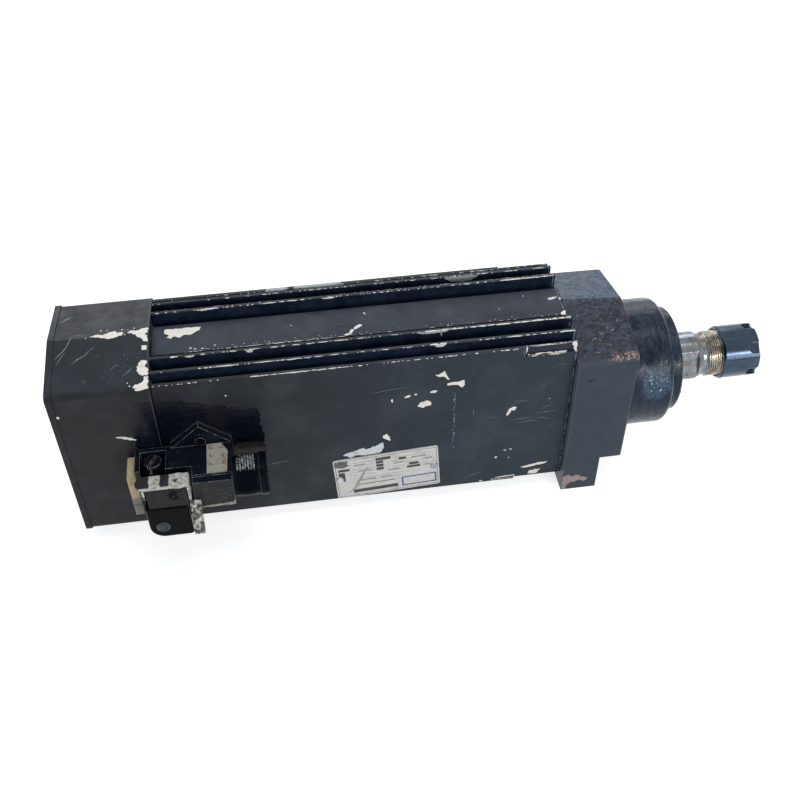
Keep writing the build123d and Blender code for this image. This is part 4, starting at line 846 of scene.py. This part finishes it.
for u, v, w, h in ((1, 1, 65, 0.28), (1, 34.7, 65, 0.28), (1, 1, 0.28, 34), (65.7, 1, 0.28, 34),
                   (27, 2.6, 9.6, 2.6), (27, 5.6, 4.6, 2.4), (27, 8.6, 4.6, 2.4), (27, 11.6, 4.6, 2.4),
                   (41.6, 5.2, 4.6, 2), (46.4, 14.2, 8.6, 2), (48, 11.4, 6, 2.2),
                   (2.6, 8.8, 7.4, 2.2), (2.6, 11.8, 4, 8.4), (10.6, 29.4, 29, 3)):
    plate_bar("plate_printing", u, v, w, h)
for i in range(8):
    v = 4.4 + 2.9 * i
    for u, w in ((12, 14), (37.6, 27)) if i < 5 else ((12, 32),):
        plate_bar("plate_rules", u, v, w, 0.22)
for u, v, w in ((13, 6, 7), (15, 11.8, 8), (38.6, 9, 6), (50, 6.2, 9), (57, 9, 6),
                (34, 15, 8), (14, 20.6, 12), (29, 20.6, 7), (14, 24.8, 24), (58, 14.8, 4)):
    plate_bar("plate_rules", u, v, w, 0.75)
for u, v, w, h in ((42.4, 24.2, 22.4, 0.9), (42.4, 31.9, 22.4, 0.9), (42.4, 24.2, 0.9, 8.6),
                   (63.9, 24.2, 0.9, 8.6)):
    plate_bar("plate_blue_frame", u, v, w, h)


def on_plate(points):
    """Points on the near side, from the plate's own millimetres."""
    return turned([(u - PLATE_HALF_W, PLATE_HALF_H - v) for u, v in points], PLATE_LEAN, PLATE_CENTRE)


scratch = on_plate([(7.4, 32), (12, 27.4), (16, 20), (19, 14), (21.4, 9.6)])
lay("plate_scratch", "nameplate", stroke(scratch, 1.5), proud=0.06, amount=0.1)
dirt = on_plate([(0.5, 1.6), (4, 1), (9.6, 1.4), (8.6, 4), (10, 6), (6, 7.6), (2, 6.6), (0.5, 5)])
lay("plate_dirt", "nameplate", dirt, amount=0.4)

# generic ticks on the marker tag
for y in (-49.6, -56, -62.4):
    for x, w, h in ((-260.6, 0.5, 2.2), (-260.2, 2, 0.4), (-254.6, 2.2, 0.4), (-253, 0.45, 1.8)):
        lay("tag_ticks", "marker_tag", bar(x, y, w, h), TOP, amount=0)
lay("tag_rub", "marker_tag", blob(-252, -60, 1.6, 4.2, 10), TOP, amount=0.4, step=0.6)

# painted groove shade on the hood, and wear on the connector
HOUSING = "connector_housing"
# painted shade: a dark ribbon down the hood's front stands for the shade of a groove
lay("hood_groove_shade", "plug_hood", stroke([(-293.6, 8.6), (-294, 2), (-294.2, -4.4)], 0.7), amount=0.05, step=1.5)
line = [(-272, -11), (-262, -11.2), (-254, -10.6), (-248.8, -9.8)]
lay("edge_wear", HOUSING, stroke(line, 1.6), amount=0.35, step=0.7)
lay("edge_wear", HOUSING, [(-253.6, -11.8), (-250.8, -10.4), (-248.4, -7.6), (-248.4, -11.8)], step=0.7)
for _ in range(7):
    a, b = draw(-272, -249.5), draw(-10, 3)
    ra, turn = draw(0.15, 0.45), draw(0, 180)
    lay("edge_wear", HOUSING, blob(a, b, ra, 0.2, turn, 6), amount=0)

scratch_look = board("scratch_grey", (136, 140, 142), (92, 98, 104), 0.5, seed=123)
print_look = board("printing_ink", (58, 60, 62), (104, 104, 100), 0.45, 0.5, 126)
groups = {
    CHIP: (board("chip_primer", *PRIMER, 0.6, 0.55, 120), "body_paint"),
    "grey_chips": (board("chip_grey", (176, 180, 180), (130, 138, 142), 0.5, 0.7, 114), "body_paint"),
    "rubbed_fins": (board("rubbed_edge", (222, 217, 206), (140, 137, 130), 0.55, 0.8, 117), "body_paint"),
    "cowl_scratches": (scratch_look, "cowl_paint"),
    "strip_scratches": (looks["gloss_plastic"], "body_paint"),
    "side_scuffs": (board("scuff_grey", (92, 100, 108), (66, 74, 82), 0.5, seed=129), "body_paint"),
    "speck_line": (scratch_look, "body_paint"),
    "paint_pits": (board("pit_dark", (14, 16, 20), (34, 38, 44), 0.5, seed=132), "body_paint"),
    "foot_chip": (board("foot_primer", (150, 134, 130), (108, 96, 96), 0.6, 0.8, 135), "casting_paint"),
    "torn_paper": (board("paper", (206, 212, 210), (140, 146, 146), 0.7, 0.7, 138), "plate_aluminium"),
    "plate_printing": (print_look, "plate_aluminium"),
    "plate_rules": (board("rule_ink", (120, 120, 116), (160, 158, 150), 0.45, 0.6, 141), "plate_aluminium"),
    "plate_blue_frame": (board("frame_blue", (44, 62, 118), (84, 98, 140), 0.45, 0.5, 144),
                         "plate_aluminium"),
    "plate_scratch": (board("scratch_dull", (148, 146, 138), (112, 110, 104), 0.5, seed=147),
                      "plate_aluminium"),
    "plate_dirt": (board("grime", (96, 98, 98), (62, 64, 66), 0.6, 0.8, 150), "plate_aluminium"),
    "tag_ticks": (print_look, "cream_plastic"),
    "tag_rub": (board("tag_grime", (140, 122, 108), (112, 106, 96), 0.6, 0.7, 153), "cream_plastic"),
    "hood_groove_shade": (looks["gloss_plastic"], "black_plastic"),
    "edge_wear": (board("rubbed_plastic", (150, 148, 138), (104, 102, 94), 0.55, 0.7, 156), "black_plastic"),
}
for group, (look, slot_name) in groups.items():
    flush_group(group, look, "motor")


# ------------------------------ threads
TURN_STEPS, FADE_STEPS = 48, 30
NOSE_ROOT = 14.2


def thread_ridge(name, centre, start, end, root, crest, pitch, look, body):
    """A helical ridge round an axis parallel to X, fading out at both ends."""
    steps = round((end - start) / pitch * TURN_STEPS)
    verts, faces = [], []
    for i in range(steps + 1):
        angle, x = math.tau * i / TURN_STEPS, start + pitch * i / TURN_STEPS
        rise = min(1.0, i / FADE_STEPS, (steps - i) / FADE_STEPS)
        top, foot = root + (crest - root) * max(rise, 0.04), root - 0.05
        for along, radius in ((-0.44, foot), (-0.09, top), (0.09, top), (0.44, foot)):
            y, z = centre[0] + radius * math.cos(angle), centre[1] + radius * math.sin(angle)
            verts.append(Vector((x + along * pitch, y, z)) * MM)
    for i in range(steps):
        for k in range(4):
            a, b = 4 * i + k, 4 * i + (k + 1) % 4
            faces.append((a, b, b + 4, a + 4))
    faces += [(3, 2, 1, 0), tuple(4 * steps + k for k in range(4))]
    GROUPS[name] = (verts, faces)
    flush_group(name, look, body)


def painted_crest_highlights():
    """Black moulded thread, its crests painted bright along the upper side as a highlight."""
    s = Shader("entry_crests", level=0.02)
    z = s.axes()[2]
    # painted highlight: pale crests on the upper side, where the light catches them
    bright = s.all_of(s.step(z, 8.5, 9.3), s.step(s.noise(1.4, 3, 0.6, seed=163), 0.46, 0.54))
    s.paint(s.mix(bright, (9, 14, 20), (150, 156, 154)), 0.25)
    s.bump(s.noise(0.6, 3, seed=164), 0.03, 0.3)
    return s.mat


thread_look = steel("thread_steel", (112, 102, 90), (190, 184, 172), 0.22, seed=160, stain_tone=(104, 86, 66))
thread_ridge("nose_thread", (0, 0), 62.2, 86.8, NOSE_ROOT, 14.96, 1.5, thread_look, "spindle")
thread_ridge("entry_thread", (-60.0, -2.2), -245.6, -234.4, 12.15, 12.85, 1.6,
             painted_crest_highlights(), "motor")

# the shaft as its CAD node has it, with the threaded length turned down to the thread's root
THREADED, BLANK = (61.0, 87.8), 14.6
mesh = NODES["spindle_shaft"].data.copy()
for v in mesh.vertices:
    x, radius = v.co.x / MM, math.hypot(v.co.y, v.co.z) / MM
    if THREADED[0] < x < THREADED[1] and radius > BLANK:
        v.co.y, v.co.z = v.co.y * NOSE_ROOT / radius, v.co.z * NOSE_ROOT / radius
shaft = new_object("threaded_shaft", mesh)
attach(shaft, "spindle")
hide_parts("spindle_shaft")

# ------------------------------ floor, light and camera
FLOOR_Z, FLOOR_HALF = -68.0 * MM, 4.0       # metres
FLOOR_GREY, FLOOR_GLOW = 0.62, 0.72
DAYLIGHT, WHITE = (0.42, 0.45, 0.5, 1), (1, 1, 1, 1)

floor_mesh = bpy.data.meshes.new("floor")
corners = [(u * FLOOR_HALF, v * FLOOR_HALF, 0) for u, v in ((-1, -1), (1, -1), (1, 1), (-1, 1))]
floor_mesh.from_pydata(corners, [], [(0, 1, 2, 3)])
floor = new_object("floor", floor_mesh)
floor.location.z = FLOOR_Z


def seen_directly(tree):
    """1 for camera, mirror and refraction rays, so that they see the plain background."""
    path = tree.nodes.new("ShaderNodeLightPath")
    total = path.outputs["Is Camera Ray"]
    for name in ("Is Glossy Ray", "Is Transmission Ray"):
        node = tree.nodes.new("ShaderNodeMath")
        node.operation, node.use_clamp = "ADD", True
        tree.links.new(total, node.inputs[0])
        tree.links.new(path.outputs[name], node.inputs[1])
        total = node.outputs[0]
    return total


floor_mat = bpy.data.materials.new("floor")
floor_mat.use_nodes = True
tree = floor_mat.node_tree
paint = tree.nodes["Principled BSDF"].inputs
paint["Base Color"].default_value = (FLOOR_GREY, FLOOR_GREY, FLOOR_GREY, 1)
paint["Roughness"].default_value = 0.9
paint["Emission Color"].default_value = WHITE
glow = tree.nodes.new("ShaderNodeMath")
glow.operation = "MULTIPLY"
glow.inputs[1].default_value = FLOOR_GLOW
tree.links.new(seen_directly(tree), glow.inputs[0])
tree.links.new(glow.outputs[0], paint["Emission Strength"])
floor_mesh.materials.append(floor_mat)

world = bpy.data.worlds.new("studio")
world.use_nodes = True
bpy.context.scene.world = world
tree = world.node_tree
backdrop = tree.nodes.new("ShaderNodeMix")
backdrop.data_type = "RGBA"
backdrop.inputs[6].default_value = DAYLIGHT
backdrop.inputs[7].default_value = WHITE
tree.links.new(seen_directly(tree), backdrop.inputs["Factor"])
tree.links.new(backdrop.outputs[2], tree.nodes["Background"].inputs["Color"])


def softbox(name, place, aim, size, power, colour=(1, 1, 1)):
    """A rectangular lamp at a place in metres, turned to a point."""
    lamp = bpy.data.lights.new(name, "AREA")
    lamp.shape, lamp.energy, lamp.color = "RECTANGLE", power, colour
    lamp.size, lamp.size_y = size
    holder = new_object(name, lamp)
    holder.location = place
    holder.rotation_euler = (Vector(aim) - Vector(place)).to_track_quat("-Z", "Y").to_euler()


softbox("window", (-0.1, 1.5, 0.85), (-0.13, 0, 0), (1.8, 0.8), 11, (0.92, 0.96, 1.0))
softbox("ceiling", (0.1, -0.1, 1.6), (-0.13, 0, 0), (1.0, 0.8), 9, (0.96, 0.98, 1.0))
softbox("side", (0.5, -1.5, 0.5), (-0.1, 0, 0), (1.0, 0.7), 9, (0.95, 0.98, 1.0))
softbox("strip", (0.44, -0.75, 0.38), (0.078, 0, 0.01), (0.36, 0.08), 1.5)

CAMERA_PLACE = Vector((-208.81, -485.13, 466.53)) * MM
CAMERA_RIGHT = Vector((0.9892038, -0.1464572, -0.0051070))
CAMERA_UP = Vector((0.1060577, 0.6914171, 0.7146287))
FOCAL, FRAME_WIDTH = 1050, 800        # pixels
camera_data = bpy.data.cameras.new("camera")
camera_data.sensor_width = 36.0
camera_data.lens = FOCAL / FRAME_WIDTH * camera_data.sensor_width
camera = new_object("camera", camera_data)
axes = Matrix((CAMERA_RIGHT, CAMERA_UP, CAMERA_RIGHT.cross(CAMERA_UP))).transposed()
camera.matrix_world = Matrix.Translation(CAMERA_PLACE) @ axes.to_4x4()
bpy.context.scene.camera = camera
bpy.context.scene.view_settings.view_transform = "Standard"
